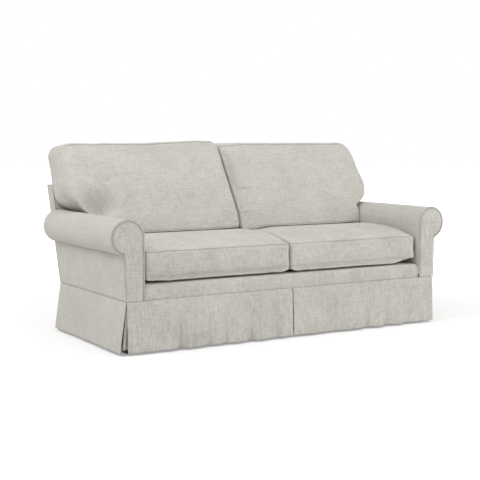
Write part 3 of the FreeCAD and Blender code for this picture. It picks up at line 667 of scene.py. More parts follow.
def outsideArm(sideName):
    shape = outsideArmShape
    side = sides[sideName]

    def pointAt(u, v):
        z = shape["low"] + (shape["high"] - shape["low"]) * v
        rear = backY(z) - faceY - 0.0005
        y = shape["front"] + (rear - shape["front"]) * u
        # It leans out under the roll and comes back in to the corner of the back
        x = halfWidth + facingShape["lean"] * v * float(1 - smoothStep(0.74, 0.82, y))
        frontEdge = math.exp(-(y - shape["front"]) / 0.006)
        puff = shape["puff"] * float(smoothStep(0, 0.06, y - shape["front"]) * smoothStep(0, 0.08, rear - y)
                                     * smoothStep(0, 0.05, v) * smoothStep(0, 0.15, 1 - v))
        x += puff - 0.002 * frontEdge + 0.0011 * ripple(side, y, z, 0.13, 9.0)
        return (side * x, faceY + y, z)

    piece = clothPanel(sideName + "OutsideArm", pointAt, 110, 50, shape["thickness"], material=linenCalm,
                       outward=(side, 0, 0))
    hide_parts(sideName + "_outside_arm")


for sideName in sides:
    armCover(sideName)
    armFacing(sideName)
    outsideArm(sideName)
print("arms made")


# Back: outside, top band, side borders and inside

backShape = {
    "top": 0.747, "topBand": 0.036, "innerOffset": 0.0688, "tuck": 0.585,
    "thickness": 0.0035, "puff": 0.004,
    "sideReach": 0.0495, "sideLow": 0.4560,  # the side borders' width below the tuck, and their foot
    "insideLow": 0.296, "seamHigh": 0.56, "seamHalf": 0.806,
}


def outsideBack():
    shape = backShape
    low, high = skirtTop + 0.001, shape["top"] - shape["topBand"] - 0.0005
    half = halfWidth - 0.0045

    def pointAt(u, v):
        z = low + (high - low) * v
        x = half * (2 * u - 1)
        puff = shape["puff"] * float(smoothStep(0, 0.1, u * 1.8) * smoothStep(0, 0.1, (1 - u) * 1.8)
                                     * smoothStep(0, 0.2, v) * smoothStep(0, 0.2, 1 - v))
        puff += 0.0012 * ripple(x, 0.4, z, 0.2, 2.0)
        return (x, backY(z) + puff - 0.001, z)

    piece = clothPanel("outsideBack", pointAt, 150, 44, shape["thickness"], outward=(0, 1, 0))
    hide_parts("outside_back")


def bandSection(shape):
    # The top border's section: up the back, over the top rail and down in front
    top, offset = shape["top"], shape["innerOffset"]
    low = top - shape["topBand"]
    corner = 0.011
    line = [(backY(low) + 0.0005, low), (backY(top - corner) + 0.001, top - corner)]
    for angle in np.linspace(0.1, math.pi / 2, 6):
        line.append((backY(top) - corner + corner * math.cos(angle), top - corner + corner * math.sin(angle)))
    frontY = backY(top, offset)
    for angle in np.linspace(math.pi / 2, math.pi * 0.95, 6):
        line.append((frontY + corner + corner * math.cos(angle), top - corner + corner * math.sin(angle)))
    line.append((backY(top - 0.03, offset) - 0.001, top - 0.03))
    section = np.array([(0, y, z) for y, z in line])
    return evenlySpaced(section, 0.005, closed=False)


def topBorder():
    shape = backShape
    section = bandSection(shape)
    half = halfWidth + 0.0005

    def pointAt(u, v):
        _, y, z = section[int(round(v * (len(section) - 1)))]
        x = -half + 2 * half * u
        z += 0.0012 * ripple(x, 1.0, 0.0, 0.16, 4.0)
        y += 0.0008 * ripple(x, 2.0, z, 0.1, 4.5)
        return (x, y, z)

    piece = clothPanel("backTopBorder", pointAt, 170, len(section), shape["thickness"], outward=(0, 0, 1))
    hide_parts("back_top_border")
    low = shape["top"] - shape["topBand"]
    end = halfWidth - 0.004
    line = np.array([(x, backY(low) + 0.0012, low) for x in np.linspace(-end, end, 260)])
    weltAlong("topBorderWelt", line, 0.0020, closed=False)


def sideBorder(sideName):
    shape = backShape
    side = sides[sideName]
    low, high = shape["sideLow"], shape["top"] - 0.0045

    def pointAt(u, v):
        z = low + (high - low) * v
        above = float(smoothStep(shape["tuck"] - 0.01, shape["tuck"], z))
        reach = shape["sideReach"] + (shape["innerOffset"] - shape["sideReach"]) * above
        y = backY(z, reach * (1 - u))
        x = halfWidth + 0.0012 * math.sin(math.pi * u) + 0.0006 * ripple(side, y, z, 0.08, 6.0)
        return (side * x, y, z)

    piece = clothPanel(sideName + "BackSideBorder", pointAt, 14, 60, shape["thickness"], outward=(side, 0, 0))
    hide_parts("back_side_borders")
    heights = np.linspace(skirtTop + 0.004, shape["top"] - 0.002, 110)
    line = np.array([(side * (halfWidth - 0.0006), backY(z) + 0.0006, z) for z in heights])
    weltAlong(sideName + "BackCornerWelt", smoothLoop(line, 6, closed=False), 0.0020, closed=False)


def insideBack():
    shape = backShape
    low, widest = shape["insideLow"], halfWidth - 0.0046

    def pointAt(u, v):
        z = low + (shape["top"] - 0.006 - low) * v
        # Between the arms up to the rolls, then in an arc over them to the back's full width
        over = armShape["rollRadius"] ** 2 - max(0.0, z - armShape["rollZ"]) ** 2
        half = min(widest, armShape["rollX"] - math.sqrt(max(0.0, over)) + 0.003)
        half = widest if over <= 0 else half
        x = -half + 2 * half * u
        puff = 0.004 * math.sin(math.pi * u) * math.sin(math.pi * v)
        return (x, backY(z, shape["innerOffset"]) - 0.0002 + 0.002 - puff, z)

    piece = clothPanel("insideBack", pointAt, 120, 80, 0.003, material=platformCloth, outward=(0, -1, 0))
    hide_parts("inside_back", "back_pad")
    high = shape["seamHigh"]
    seamY = backY(high, shape["innerOffset"]) - 0.0025
    line = np.array([(x, seamY, high) for x in np.linspace(-shape["seamHalf"], shape["seamHalf"], 200)])
    weltAlong("insideBackSeam", line, 0.0014, closed=False, material=platformCloth)


outsideBack()
topBorder()
for sideName in sides:
    sideBorder(sideName)
insideBack()
print("back made")


# Front border, and the deck under the seat cushions

borderShape = {
    "half": 0.8117, "low": 0.2440, "top": 0.318, "front": 0.010, "edgeRadius": 0.013, "endRadius": 0.016,
    "rear": 0.0554, "thickness": 0.004, "puff": 0.0035, "toeReach": 0.0046,
}


def frontBorder():
    shape = borderShape
    front, top, radius = shape["front"], shape["top"], shape["edgeRadius"]
    line = [(front, z) for z in np.linspace(shape["low"], top - radius, 12)]
    line += [(front + radius - radius * math.cos(a), top - radius + radius * math.sin(a))
             for a in np.linspace(0.15, math.pi / 2, 9)]
    line += [(y, top) for y in np.linspace(front + radius + 0.004, shape["rear"], 8)]
    section = evenlySpaced(np.array([(0, y, z) for y, z in line]), 0.005, closed=False)
    last = len(section) - 1

    def pointAt(u, v):
        _, y, z = section[int(round(v * last))]
        x = shape["half"] * (2 * u - 1)
        # The band is fuller in the middle and its upper corners round down to the arms
        ends, rounding = shape["half"] - abs(x), shape["endRadius"]
        drop = rounding - math.sqrt(max(0.0, rounding ** 2 - max(0.0, rounding - ends) ** 2))
        # Below the arm cover's wall its ends reach the piping of the facings
        toe = shape["toeReach"] * float(smoothStep(0.02, 0.0, ends) * smoothStep(armShape["wallLow"], 0.254, z))
        x += math.copysign(toe, x)
        z -= drop * float(smoothStep(shape["low"] + 0.02, top, z))
        share = min(1.0, max(0.0, (z - shape["low"]) / (top - shape["low"])))
        belly = shape["puff"] * math.sin(math.pi * share)
        y -= belly + 0.0012 * ripple(x, 0.0, z, 0.12, 1.5)
        z += 0.0012 * ripple(x, 1.0, 0.0, 0.2, 8.0) * float(smoothStep(shape["low"] + 0.03, top, z))
        return (x, faceY + y, z)

    piece = clothPanel("frontBorder", pointAt, 260, last + 1, shape["thickness"], outward=(0, -1, 0.2))
    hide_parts("front_border")


deckShape = {
    "half": 0.8115, "gap": 0.0006, "rear": 0.757, "high": 0.3183, "start": 0.055, "pitch": math.radians(1.2),
    "sag": 0.0025, "thickness": 0.0015, "seams": (0.075, 0.082), "seamHalf": 0.80, "seamRadius": 0.0009,
}


def deckCloth():
    shape = deckShape
    pitch = math.tan(shape["pitch"])
    front, rear = borderShape["rear"] + shape["gap"], shape["rear"]

    def pointAt(u, v):
        y = front + (rear - front) * v
        x = shape["half"] * (2 * u - 1)
        z = shape["high"] - (y - shape["start"]) * pitch
        z -= shape["sag"] * math.sin(math.pi * u) * math.sin(math.pi * v)
        return (x, faceY + y, z)

    piece = clothPanel("deckCloth", pointAt, 90, 50, shape["thickness"], material=platformCloth,
                       outward=(0, 0, 1))
    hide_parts("deck_cloth", "deck_pad")
    for index, y in enumerate(shape["seams"]):
        z = shape["high"] - (y - shape["start"]) * pitch + 0.0001
        line = np.array([(x, faceY + y, z) for x in np.linspace(-shape["seamHalf"], shape["seamHalf"], 200)])
        weltAlong("deckSeam%d" % (index + 1), line, shape["seamRadius"], closed=False, material=platformCloth)


frontBorder()
deckCloth()
print("deck and border made")


# Skirt panels, and the pleats behind their splits

skirtShape = {
    "hem": 0.010, "thickness": 0.0022, "frontFlare": 0.0125, "backFlare": 0.016,
    "gap": 0.0022, "foldReach": 0.0115, "lip": 0.016,
    "sideFlare": {"left": 0.0355, "right": 0.004}, "rearFlare": 0.030,
}
# Folds of each front panel: distance from the sofa's middle, width, and depth (a valley is negative)
frontFolds = {
    "left": [(0.021, 0.014, -0.6), (0.060, 0.022, 0.6), (0.108, 0.020, -0.9), (0.185, 0.042, 0.9),
             (0.258, 0.024, -1.3), (0.325, 0.030, 0.7), (0.388, 0.022, -1.0), (0.432, 0.020, 0.4),
             (0.480, 0.018, -0.7), (0.545, 0.030, 0.8), (0.600, 0.018, 0.9), (0.634, 0.015, -1.3),
             (0.690, 0.030, 0.5), (0.800, 0.060, 0.3)],
    "right": [(0.040, 0.030, -0.3), (0.130, 0.050, 0.4), (0.240, 0.050, -0.6), (0.330, 0.040, 0.6),
              (0.398, 0.030, 0.6), (0.460, 0.026, -1.3), (0.530, 0.032, 1.1), (0.598, 0.026, -1.2),
              (0.660, 0.030, 1.0), (0.735, 0.030, -0.8), (0.820, 0.040, 0.4)],
}


def foldDepth(folds, along, fall):
    total = 0.0
    for place, width, depth in folds:
        lean = 0.010 * fall * math.sin(place * 40)
        total += depth * math.exp(-((along - place - lean) / (0.8 * width)) ** 2)
    return total


def turnedTop(v, depth):
    # The skirt's sewn top edge turns in to the panel above it
    return depth * (1 - float(smoothStep(0.0, skirtShape["lip"], v)))


def frontSkirt(sideName):
    shape = skirtShape
    side = sides[sideName]
    folds = frontFolds[sideName]

    def pointAt(u, v):
        v = v ** 1.2
        z = skirtTop + 0.0005 - (skirtTop - shape["hem"]) * v
        along = shape["gap"] + (halfWidth - 0.0015 - shape["gap"]) * u
        y = -shape["frontFlare"] * v ** 0.9
        y -= shape["foldReach"] * foldDepth(folds, along, v) * float(smoothStep(0.15, 1.0, v))
        y += 0.0010 * ripple(along * side, 0.0, z, 0.09, 3.3) * v
        # The panel's own edges curl back a little at the pleats
        y += 0.003 * v * math.exp(-(along - shape["gap"]) / 0.012)
        y += 0.003 * v * math.exp(-(halfWidth - along) / 0.012)
        under = float(smoothStep(0.822, 0.808, along))
        y += turnedTop(v, 0.001 + 0.0082 * under)
        z += 0.0010 * ripple(along * side, 3.0, 0, 0.15, 1.2) * v
        return (side * (along + 0.001 * v), faceY + y, z)

    piece = clothPanel(sideName + "FrontSkirt", pointAt, 230, 54, shape["thickness"], outward=(0, -1, 0))
    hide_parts(sideName + "_front_skirt")


def sideSkirt(sideName):
    shape = skirtShape
    side = sides[sideName]

    def pointAt(u, v):
        v = v ** 1.2
        z = skirtTop + 0.0005 - (skirtTop - shape["hem"]) * v
        y = 0.0045 + (bodyDepth - 0.0045) * u
        # The hem's flare goes from the front corner's to that of the rest of the side
        rearFlare = shape["rearFlare"]
        flare = rearFlare + (shape["sideFlare"][sideName] - rearFlare) * math.exp(-(u / 0.22) ** 2)
        x = halfWidth + flare * v ** 0.97
        wave = 0.55 * math.sin(y * 11 + side) + 0.4 * math.sin(y * 23 + 2 * side)
        x += 0.0024 * wave * float(smoothStep(0.25, 1.0, v) * smoothStep(0.0, 0.1, u))
        x += 0.0010 * ripple(side, y, z, 0.1, 2.2) * v
        y += 0.010 * v * math.exp(-(bodyDepth - y) / 0.10)
        x -= turnedTop(v, 0.0035)
        return (side * x, faceY + y, z)

    piece = clothPanel(sideName + "SideSkirt", pointAt, 150, 54, shape["thickness"], material=linenCalm,
                       outward=(side, 0, 0))
    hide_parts(sideName + "_side_skirt")


def backSkirt():
    shape = skirtShape
    half = halfWidth - 0.0045

    def pointAt(u, v):
        z = skirtTop - (skirtTop - shape["hem"]) * v
        x = -half + 2 * half * u
        y = bodyDepth + shape["backFlare"] * v
        wave = 0.5 * math.sin(x * 19) + 0.4 * math.sin(x * 33 + 1.2) + 0.3 * ripple(x, 5.0, 0.0, 0.12, 0.4)
        y += 0.0055 * wave * float(smoothStep(0.2, 1.0, v))
        y -= turnedTop(v, 0.002)
        x += 0.012 * v * (u - 0.5) * 2
        return (x, faceY + y, z)

    piece = clothPanel("backSkirt", pointAt, 220, 40, shape["thickness"], outward=(0, 1, 0))
    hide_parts("back_skirt")


pleatShape = {
    "low": 0.0275, "top": 0.2435, "thickness": 0.002, "leg": 0.047, "turn": 0.005,
    "foldTop": (0.9025, 0.0040), "foldLow": {"left": (0.9275, -0.0020), "right": (0.9040, 0.0040)},
    "centreHalf": 0.09, "centreDrop": 0.02,
}


def cornerPleat(sideName, end):
    # The folded underlay in a corner of the skirt: one leg behind each panel
    shape = pleatShape
    side = sides[sideName]
    inward = 1 if end == "front" else -1
    edgeY = 0.0 if end == "front" else bodyDepth
    topX, topY = shape["foldTop"]
    lowX, lowY = shape["foldLow"][sideName]

    def pointAt(u, v):
        z = shape["top"] + (shape["low"] - shape["top"]) * v
        foldX = topX + (lowX - topX) * v
        foldY = topY + (lowY - topY) * v
        # One leg runs along the front, the other turns back and leans in behind the side panel
        t = (u - 0.5) * 2
        bend = shape["turn"] * math.exp(-(t * 7) ** 2)
        if t < 0:
            x = foldX - shape["leg"] * -t
            y = foldY + 0.011 * min(1.0, -2.2 * t) * v
        else:
            x = foldX - 0.30 * shape["leg"] * t * v
            y = foldY + shape["leg"] * t
        x -= 0.45 * bend
        y += 0.45 * bend
        return (side * x, edgeY + faceY + inward * y, z)

    piece = clothPanel(sideName + end.capitalize() + "CornerPleat", pointAt, 61, 30, shape["thickness"],
                       outward=(side, -inward, 0))
    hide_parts("corner_pleats")


def centrePleat():
    shape = pleatShape
    drop = shape["centreDrop"]

    def pointAt(u, v):
        z = shape["top"] - drop + (shape["low"] - shape["top"] + drop) * v
        x = shape["centreHalf"] * (2 * u - 1)
        y = 0.0065 - 0.0045 * v + 0.001 * math.sin(x * 60) * v
        return (x, faceY + y, z)

    piece = clothPanel("centrePleat", pointAt, 30, 26, shape["thickness"], outward=(0, -1, 0))
    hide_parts("centre_pleat")


for sideName in sides:
    frontSkirt(sideName)
    sideSkirt(sideName)
    for end in ("front", "rear"):
        cornerPleat(sideName, end)
backSkirt()
centrePleat()
print("skirt made")


# Cushions: cut from the CAD fillings, swollen as cloth, settled, then dressed with their piping

simulation = {
    "frames": 20, "pressure": 4.0, "holdReach": 0.010, "sink": 0.009,
    "cap": {"seat": 0.022, "back": 0.026},  # the most that a point may swell
    "sideCap": 0.003, "underCap": 0.003, "rearCap": 0.004,
}


def swellLimits(kind, normals):
    # Panels that lie against the frame or the next cushion can hardly swell
    limits = np.full(len(normals), simulation["cap"][kind])
    facings = (np.abs(normals[:, 0]), "sideCap"), (-normals[:, 2], "underCap"), (normals[:, 1], "rearCap")
    for facing, cap in facings:
        share = smoothStep(0.35, 0.75, facing)
        limits = limits * (1 - share) + simulation[cap] * share
    return limits


def setUpCloth(piece, distance):
    # Pins the cloth along its seams and blows the panels up between them
    hold = piece.vertex_groups.new(name="hold")
    weights = np.clip(1 - distance / simulation["holdReach"], 0, 1)
    for index in np.nonzero(weights > 0)[0]:
        hold.add([int(index)], float(weights[index]), "REPLACE")
    cloth = piece.modifiers.new("cloth", "CLOTH")
    settings = cloth.settings
    settings.quality = 5
    settings.mass = 0.3
    settings.tension_stiffness = 15
    settings.compression_stiffness = 15
    settings.shear_stiffness = 5
    settings.bending_stiffness = 0.6
    settings.use_pressure = True
    settings.uniform_pressure_force = simulation["pressure"]
    settings.effector_weights.gravity = 0
    settings.vertex_group_mass = "hold"
    cloth.collision_settings.use_collision = False
    cloth.point_cache.frame_start = 1
    cloth.point_cache.frame_end = simulation["frames"]


def simulate(pieces, limits):
    # Runs the cloth, then keeps each point within its limit and applies the result
    start = {piece.name: coordsOf(piece.data) for piece in pieces}
    for frameNumber in range(1, simulation["frames"] + 1):
        scene.frame_set(frameNumber)
    for piece, limit in zip(pieces, limits):
        swollen = evaluatedMesh(piece)
        end = coordsOf(swollen)
        bpy.data.meshes.remove(swollen)
        move = end - start[piece.name]
        length = np.linalg.norm(move, axis=1)
        move *= np.minimum(1.0, limit / np.maximum(length, 1e-9))[:, None]
        print(piece.name, "swelled by", round(float(length.mean()) * 1000, 1), "mm on average, most",
              round(float(length.max()) * 1000, 1))
        piece.modifiers.clear()
        piece.vertex_groups.clear()
        setCoords(piece.data, relaxed(start[piece.name] + move, edgePairs(piece.data), 2))
    scene.frame_set(1)


seatShape = {
    "voxel": 0.0065, "weltRadius": 0.0021, "fill": 0.8, "welts": ("TopWelt", "LowWelt"),
    "ends": (0.790, 0.005), "face": 0.0226,  # where the filling ends outside, at the split and in front
    "topSeam": 0.1475, "lowSeam": 0.034, "pitch": math.radians(-1.2), "low": 0.3195,
    # How far the bottom is up off the deck in front, and curls up at the split and at the outer end
    "frontLift": 0.0085, "splitCurl": 0.012, "outerCurl": {"left": 0.008, "right": 0.034},
    "corner": 0.034, "squareness": 6.0, "lowCorner": 0.030, "endReach": 0.006,
    # The crown falls away where the right back cushion's lower corner hangs: depth, middle and reach
    "valley": (0.026, 0.060, 0.065),
}
backCushionShape = {
    "voxel": 0.0065, "weltRadius": 0.0021, "fill": 0.65, "welts": ("FrontWelt", "RearWelt"),
    "innerEnd": 0.0046, "underside": 0.5195, "clearance": 0.0025,
    "toe": (0.5065, 0.5215), "brow": (0.790, 0.9640), "rearSeam": 0.010,
    # Ear: how far its front edge stands out from the solid at each height, and its rear seam everywhere
    "flareHeights": [0.620, 0.640, 0.660, 0.685, 0.715, 0.745, 0.800, 0.870, 0.928],
    "flareReach": [-0.030, -0.024, -0.014, 0.000, 0.011, 0.014, 0.006, 0.002, 0.000],
    "rearHeights": [0.62, 0.86, 0.935], "rearReach": [-0.010, -0.010, -0.002],
    "cheek": 0.018, "rim": 0.012, "rimCorner": 0.038,
    # Hollow by the left ear: middle, level, half width, height above and below, depth
    "hollow": (0.780, 0.655, 0.074, 0.060, 0.042, 0.088), "gap": 0.0085, "heel": 0.014, "heelLimit": 0.8105,
    "splitRise": {"left": 0.011, "right": 0.0},
    # Creases at the right cushion's inner edge, the upper one first: level, depth and length
    "creases": ((0.7495, 0.0150, 0.170), (0.6195, 0.0120, 0.125)),
    # How deep the valley there is at its foot, below and above the lower crease, below and above
    # the upper one, higher up and at its top, and the levels of its foot and top
    "valley": [0.006, 0.008, 0.034, 0.018, 0.062, 0.062, 0.024], "valleyEnds": (0.53, 0.93),
}


def squaring(first, second, power):
    # How far a round corner has to grow to be nearly square. Both run from its centre, to 1 at the face.
    inside = (first > 0) & (second > 0)
    a, b = np.where(inside, first, 1.0), np.where(inside, second, 1.0)
    return np.where(inside, np.hypot(a, b) / (a ** power + b ** power) ** (1 / power) - 1, 0.0)


def seatCushion(sideName):
    shape = seatShape
    piece = copyOfNodes(sideName + "SeatCushion", [sideName + "_seat_cushion_filling"], shape["voxel"])
    mesh = piece.data
    points = relaxed(coordsOf(mesh), edgePairs(mesh), 5)
    outer = np.abs(points[:, 0])
    depth = points[:, 1] - faceY
    rise = points[:, 2] - shape["low"] + (0.02 - depth) * math.tan(shape["pitch"]) * -1
    # Tight front corners in plan
    outerEnd, innerEnd = shape["ends"]
    for middle, way in ((outerEnd - shape["corner"], 1), (innerEnd + shape["corner"], -1)):
        first, second = (outer - middle) * way, shape["face"] + shape["corner"] - depth
        growth = squaring(first / shape["corner"], second / shape["corner"], shape["squareness"])
        points[:, 0] += np.sign(points[:, 0]) * way * first * growth
        points[:, 1] -= second * growth
    first, second = shape["face"] + shape["lowCorner"] - depth, shape["lowCorner"] - rise
    growth = squaring(first / shape["lowCorner"], second / shape["lowCorner"], 5)
    points[:, 1] -= first * growth
    points[:, 2] -= second * growth
    rise = rise - second * growth
    points[:, 0] += np.sign(points[:, 0]) * shape["endReach"] * smoothStep(0.72, 0.79, outer)
    low = 1 - smoothStep(0.004, 0.034, rise)
    front = 1 - smoothStep(0.02, 0.075, depth)
    curl = shape["frontLift"] * (1 - smoothStep(0.05, 0.16, depth))
    curl += shape["splitCurl"] * (1 - smoothStep(0.0, 0.05, outer)) * front
    curl += shape["outerCurl"][sideName] * smoothStep(0.64, 0.80, outer) ** 1.6 * front
    points[:, 2] += curl * low
    if sideName == "right":
        depthThere, middle, reach = shape["valley"]
        fall = smoothStep(0.10, 0.16, rise) * smoothStep(0.28, 0.45, depth)
        points[:, 2] -= depthThere * np.exp(-((outer - middle) / reach) ** 2) * fall
    setCoords(mesh, points)
    start = Vector((0, faceY + 0.0195, shape["low"]))
    up = Vector((0, math.sin(-shape["pitch"]), math.cos(shape["pitch"])))
    return piece, [sliceLoop(mesh, start + up * shape[seam], up) for seam in ("topSeam", "lowSeam")]


def frontPlane():
    # The back cushions' front seam: a plane through the lower front edge and the brow
    toe, brow = backCushionShape["toe"], backCushionShape["brow"]
    lean = Vector((0, brow[0] - toe[0], brow[1] - toe[1])).normalized()
    return Vector((0, faceY + toe[0], toe[1])), Vector((0, lean.z, -lean.y))


def crispInnerEdge(points, toe, across):
    # Squares the rounded edge and top corner at the split, so that this cushion's rim stands in front
    across = np.array(across)
    lean = np.array((0.0, -across[2], across[1]))
    corner = backCushionShape["rimCorner"]
    outer = np.abs(points[:, 0])
    first = (backCushionShape["innerEnd"] + corner - outer) / corner
    along = (points - np.array(toe)) @ lean
    top = along[outer < 0.08].max()
    growth = squaring(first, (along - top + corner) / corner, 4)
    points[:, 0] += corner * first * growth
    points += lean * ((along - top + corner) * growth)[:, None]
    behind = (points - np.array(toe)) @ across
    heights = np.linspace(0, 0.5, 26)
    level = []
    for height in heights:
        near = (np.abs(along - height) < 0.02) & (outer > 0.1) & (outer < 0.7)
        level.append(behind[near].min() if near.any() else 0.0)
    second = np.interp(along, heights, level) + backCushionShape["rim"] + corner - behind
    growth = squaring(first, second / corner, 5)
    points[:, 0] += corner * first * growth
    points -= across * (second * growth)[:, None]


def backCushion(sideName):
    shape = backCushionShape
    side = sides[sideName]
    piece = copyOfNodes(sideName + "BackCushion", [sideName + "_back_cushion_filling"], shape["voxel"])
    mesh = piece.data
    points = relaxed(coordsOf(mesh), edgePairs(mesh), 5)
    outer = np.abs(points[:, 0])
    toe, across = frontPlane()
    rearY = backY(points[:, 2], backShape["innerOffset"])
    ahead = smoothStep(0.02, 0.20, rearY - points[:, 1])
    # The ear swells outwards over the arm, most at its front edge
    rearReach = np.interp(points[:, 2], shape["rearHeights"], shape["rearReach"])
    frontReach = np.interp(points[:, 2], shape["flareHeights"], shape["flareReach"])
    reach = rearReach + ahead * (frontReach - rearReach)
    points[:, 0] += side * reach * smoothStep(0.80, 0.90, outer)
    points[:, 1] += shape["cheek"] * smoothStep(0.84, 0.93, outer) ** 2 * ahead
    # and sags between the arm and the cushion's body
    sag = np.interp(outer, [0.800, 0.818, 0.850, 0.875, 0.925], [0.0, -0.018, -0.002, 0.008, 0.020])
    points[:, 2] += sag * (1 - smoothStep(0.625, 0.74, points[:, 2])) * smoothStep(0.600, 0.622, points[:, 2])
    # The lower outer corner fills the room beside the arm
    heel = smoothStep(0.70, 0.80, outer) * (1 - smoothStep(0.56, 0.62, points[:, 2]))
    stem = (outer < armShape["wallX"]) & (points[:, 2] < 0.62)
    filled = side * np.minimum(np.abs(points[:, 0]) + shape["heel"] * heel, shape["heelLimit"])
    points[:, 0] = np.where(stem, filled, points[:, 0])
    # The top rises a little towards the split, in slow waves
    top = smoothStep(0.88, 0.96, points[:, 2])
    points[:, 2] += top * shape["splitRise"][sideName] * (1 - smoothStep(0.06, 0.50, outer))
    points[:, 2] += top * 0.0022 * np.array([ripple(x, 0.0, 0.0, 0.075, 6.0 + side) for x in points[:, 0]])
    if side < 0:
        crispInnerEdge(points, toe, across)
    setCoords(mesh, points)
    loops = [sliceLoop(mesh, toe + across * 0.003, across)]
    rear = Vector((0, math.cos(rakeAngle), -math.sin(rakeAngle)))
    place = Vector((0, backY(0.7, backShape["innerOffset"]), 0.7)) - rear * shape["rearSeam"]
    loops.append(sliceLoop(mesh, place, rear))
    return piece, loops


def restBackCushion(points, side, seatTree):
    # How the stuffing has settled: a valley at the split, a hollow by the left ear, pulled creases at the
    # right cushion's inner edge, and a lower edge that lies on the seat cushions
    shape = backCushionShape
    toe, across = frontPlane()
    across = np.array(across)
    behind = (points - np.array(toe)) @ across
    front = 1 - smoothStep(-0.004, 0.05, behind)
    outer = np.abs(points[:, 0])
    height = points[:, 2]
    push = np.zeros(len(points))
    if side > 0:
        # Between the creases the cloth beside the piping sinks step by step
        mid, low = [crease[0] for crease in shape["creases"]]
        foot, high = shape["valleyEnds"]
        levels = [foot, low - 0.017, low + 0.002, mid - 0.019, mid + 0.003, mid + 0.10, high]
        steps = np.interp(height, levels, shape["valley"])
        reach = 0.060 + 0.042 * smoothStep(0.60, 0.78, height)
        start = smoothStep(0.010, 0.034, outer)
        push += steps * (start * np.exp(-(np.maximum(outer - 0.034, 0) / reach) ** 2))
        for level, depth, length in shape["creases"]:
            fade = (1 - smoothStep(length * 0.4, length, outer)) * start
            push -= depth * fade * np.exp(-((height - level + 0.012) / 0.011) ** 2)
        opening = (1 - smoothStep(0.02, 0.07, outer)) * (1 - smoothStep(0.06, 0.14, behind))
        points[:, 0] += shape["gap"] * opening
    else:
        middle, level, wide, tall, short, deep = shape["hollow"]
        reach = np.where(height > level, tall, short)
        spot = ((outer - middle) / wide) ** 2 + ((height - level) / reach) ** 2
        push += deep * np.exp(-spot)
        streaks = np.array([ripple(p[0], 0.0, p[2] * 0.2, 0.022, 4.4) for p in points])
        push += 0.011 * streaks * np.exp(-spot * 0.6)
    points = points + across * (push * front)[:, None]
    under = 1 - smoothStep(0.525, 0.60, points[:, 2])
    for index in np.nonzero((under > 0) & (outer < armShape["wallX"]))[0]:
        x, y, z = points[index]
        inside = min(max(abs(x), 0.012), 0.778)
        hit = seatTree.ray_cast(Vector((math.copysign(inside, x), y, 0.8)), Vector((0, 0, -1)))
        if hit[0] is not None:
            points[index, 2] = z + under[index] * (hit[0].z + shape["clearance"] - shape["underside"])
    return points


def hiddenShare(points, name):
    # Where the front seam runs round the ear's outer side it lies deep in the cloth
    if name != "FrontWelt":
        return np.zeros(len(points))
    outer = np.abs(points[:, 0])
    return smoothStep(0.868, 0.905, outer) * smoothStep(0.668, 0.690, points[:, 2])


def earSeam(points, name):
    # Under the ear the same seam stands out towards the arm
    if name != "FrontWelt":
        return np.zeros(len(points))
    outer = np.abs(points[:, 0])
    return smoothStep(0.815, 0.835, outer) * (1 - smoothStep(0.655, 0.675, points[:, 2]))


seamLook = {
    "draw": 0.0024, "drawReach": 0.006, "pucker": 0.0018, "puckerPlace": 0.018, "puckerReach": 0.016,
    "waveLength": 0.034,
    "stand": 0.9, "sink": 2.8, "rise": 1.1,  # of the piping, in radii: everywhere, outside the ear, under it
}


def dress(piece, loops, shape, body, cloth):
    # Draws the seams in, lays the piping on them and finishes the cushion
    look, names = seamLook, shape["welts"]
    mesh = piece.data
    points = coordsOf(mesh)
    normals = normalsOf(mesh)
    marks = []
    for loop, name in zip(loops, names):
        distance, index = nearest(points, loop)
        draw = look["draw"] * np.exp(-(distance / look["drawReach"]) ** 2) * (1 - hiddenShare(points, name))
        wave = np.array([noise.noise(Vector((a * seamSpacing / look["waveLength"], 1.7, 0.3))) for a in index])
        pucker = look["pucker"] * wave * np.exp(-((distance - look["puckerPlace"]) / look["puckerReach"]) ** 2)
        points = points + normals * (pucker - draw)[:, None]
        marks.append(nearest(loop, points)[1])
    setCoords(mesh, points)
    mesh.materials.clear()
    mesh.materials.append(cloth)
    for polygon in mesh.polygons:
        polygon.use_smooth = True
    smooth = piece.modifiers.new("finer", "SUBSURF")
    smooth.levels = 1
    smooth.render_levels = 1
    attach(piece, body)
    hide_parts(body + "_cover", body + "_filling")
    for mark, name in zip(marks, names):
        along = points[mark]
        lift = look["stand"] - look["sink"] * hiddenShare(along, name) + look["rise"] * earSeam(along, name)
        line = along + normals[mark] * (shape["weltRadius"] * lift)[:, None]
        weltAlong(piece.name + name, smoothLoop(line, 3), shape["weltRadius"], body=body)


cushions = []
for sideName in sides:
    cushions.append((sideName, "seat", *seatCushion(sideName)))
    cushions.append((sideName, "back", *backCushion(sideName)))
print("cushions cut")

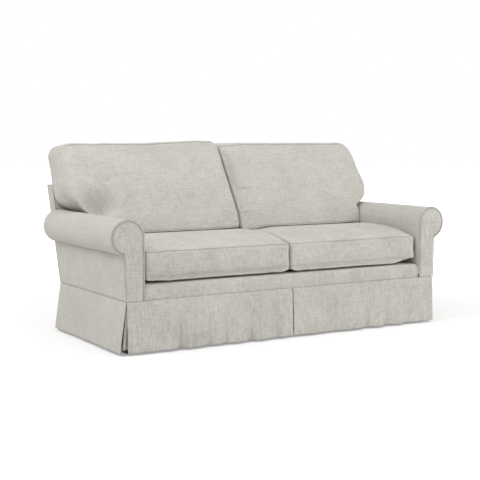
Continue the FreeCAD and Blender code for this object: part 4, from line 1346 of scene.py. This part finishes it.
limits = []
for sideName, kind, piece, loops in cushions:
    points = coordsOf(piece.data)
    normals = normalsOf(piece.data)
    limits.append(swellLimits(kind, normals))
    distance, _ = nearest(points, np.vstack(loops))
    # The panels start sunk in, because the cloth swells past the form that it starts from
    sunk = simulation["sink"] * smoothStep(0.004, 0.09, distance) * limits[-1] / simulation["cap"][kind]
    setCoords(piece.data, points - normals * sunk[:, None])
    setUpCloth(piece, distance)
simulate([c[2] for c in cushions], limits)
print("cushions filled")

seatTops = bmesh.new()
for sideName, kind, piece, loops in cushions:
    if kind == "seat":
        dress(piece, loops, seatShape, sideName + "_seat_cushion", linen)
        seatTops.from_mesh(piece.data)
seatTree = BVHTree.FromBMesh(seatTops)
for sideName, kind, piece, loops in cushions:
    if kind == "back":
        before = coordsOf(piece.data)
        after = restBackCushion(before, sides[sideName], seatTree)
        setCoords(piece.data, after)
        moved = [loop + (after - before)[nearest(loop, before)[1]] for loop in loops]
        dress(piece, moved, backCushionShape, sideName + "_back_cushion", linenLeaning)
seatTops.free()
print("cushions dressed")


# Finishes of the CAD nodes that stay as they are

nodeFinish = {
    "front_seat_rail": frameWood[0], "rear_seat_rail": frameWood[0], "back_top_rail": frameWood[0],
    "back_tack_rail": frameWood[0], "back_upright": frameWood[2], "seat_brace": frameWood[1],
    "corner_blocks": frameWood[0], "lag_bolts": boltSteel, "seat_springs": springSteel,
    "spring_clips": springSteel, "back_webbing": jute, "dust_cover": lining, "centre_leg": footStain,
    "foot_glides": glideNylon,
}
for sideName in sides:
    nodeFinish[sideName + "_side_seat_rail"] = frameWood[1]
    nodeFinish[sideName + "_front_post"] = frameWood[2]
    nodeFinish[sideName + "_rear_post"] = frameWood[2]
    nodeFinish[sideName + "_arm_rail"] = frameWood[1]
    nodeFinish[sideName + "_scroll_board"] = boardWood
    nodeFinish[sideName + "_front_foot"] = footStain
    nodeFinish[sideName + "_rear_foot"] = footStain
for name, material in nodeFinish.items():
    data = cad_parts[name].data
    data.materials.clear()
    data.materials.append(material)
print("frame finished")
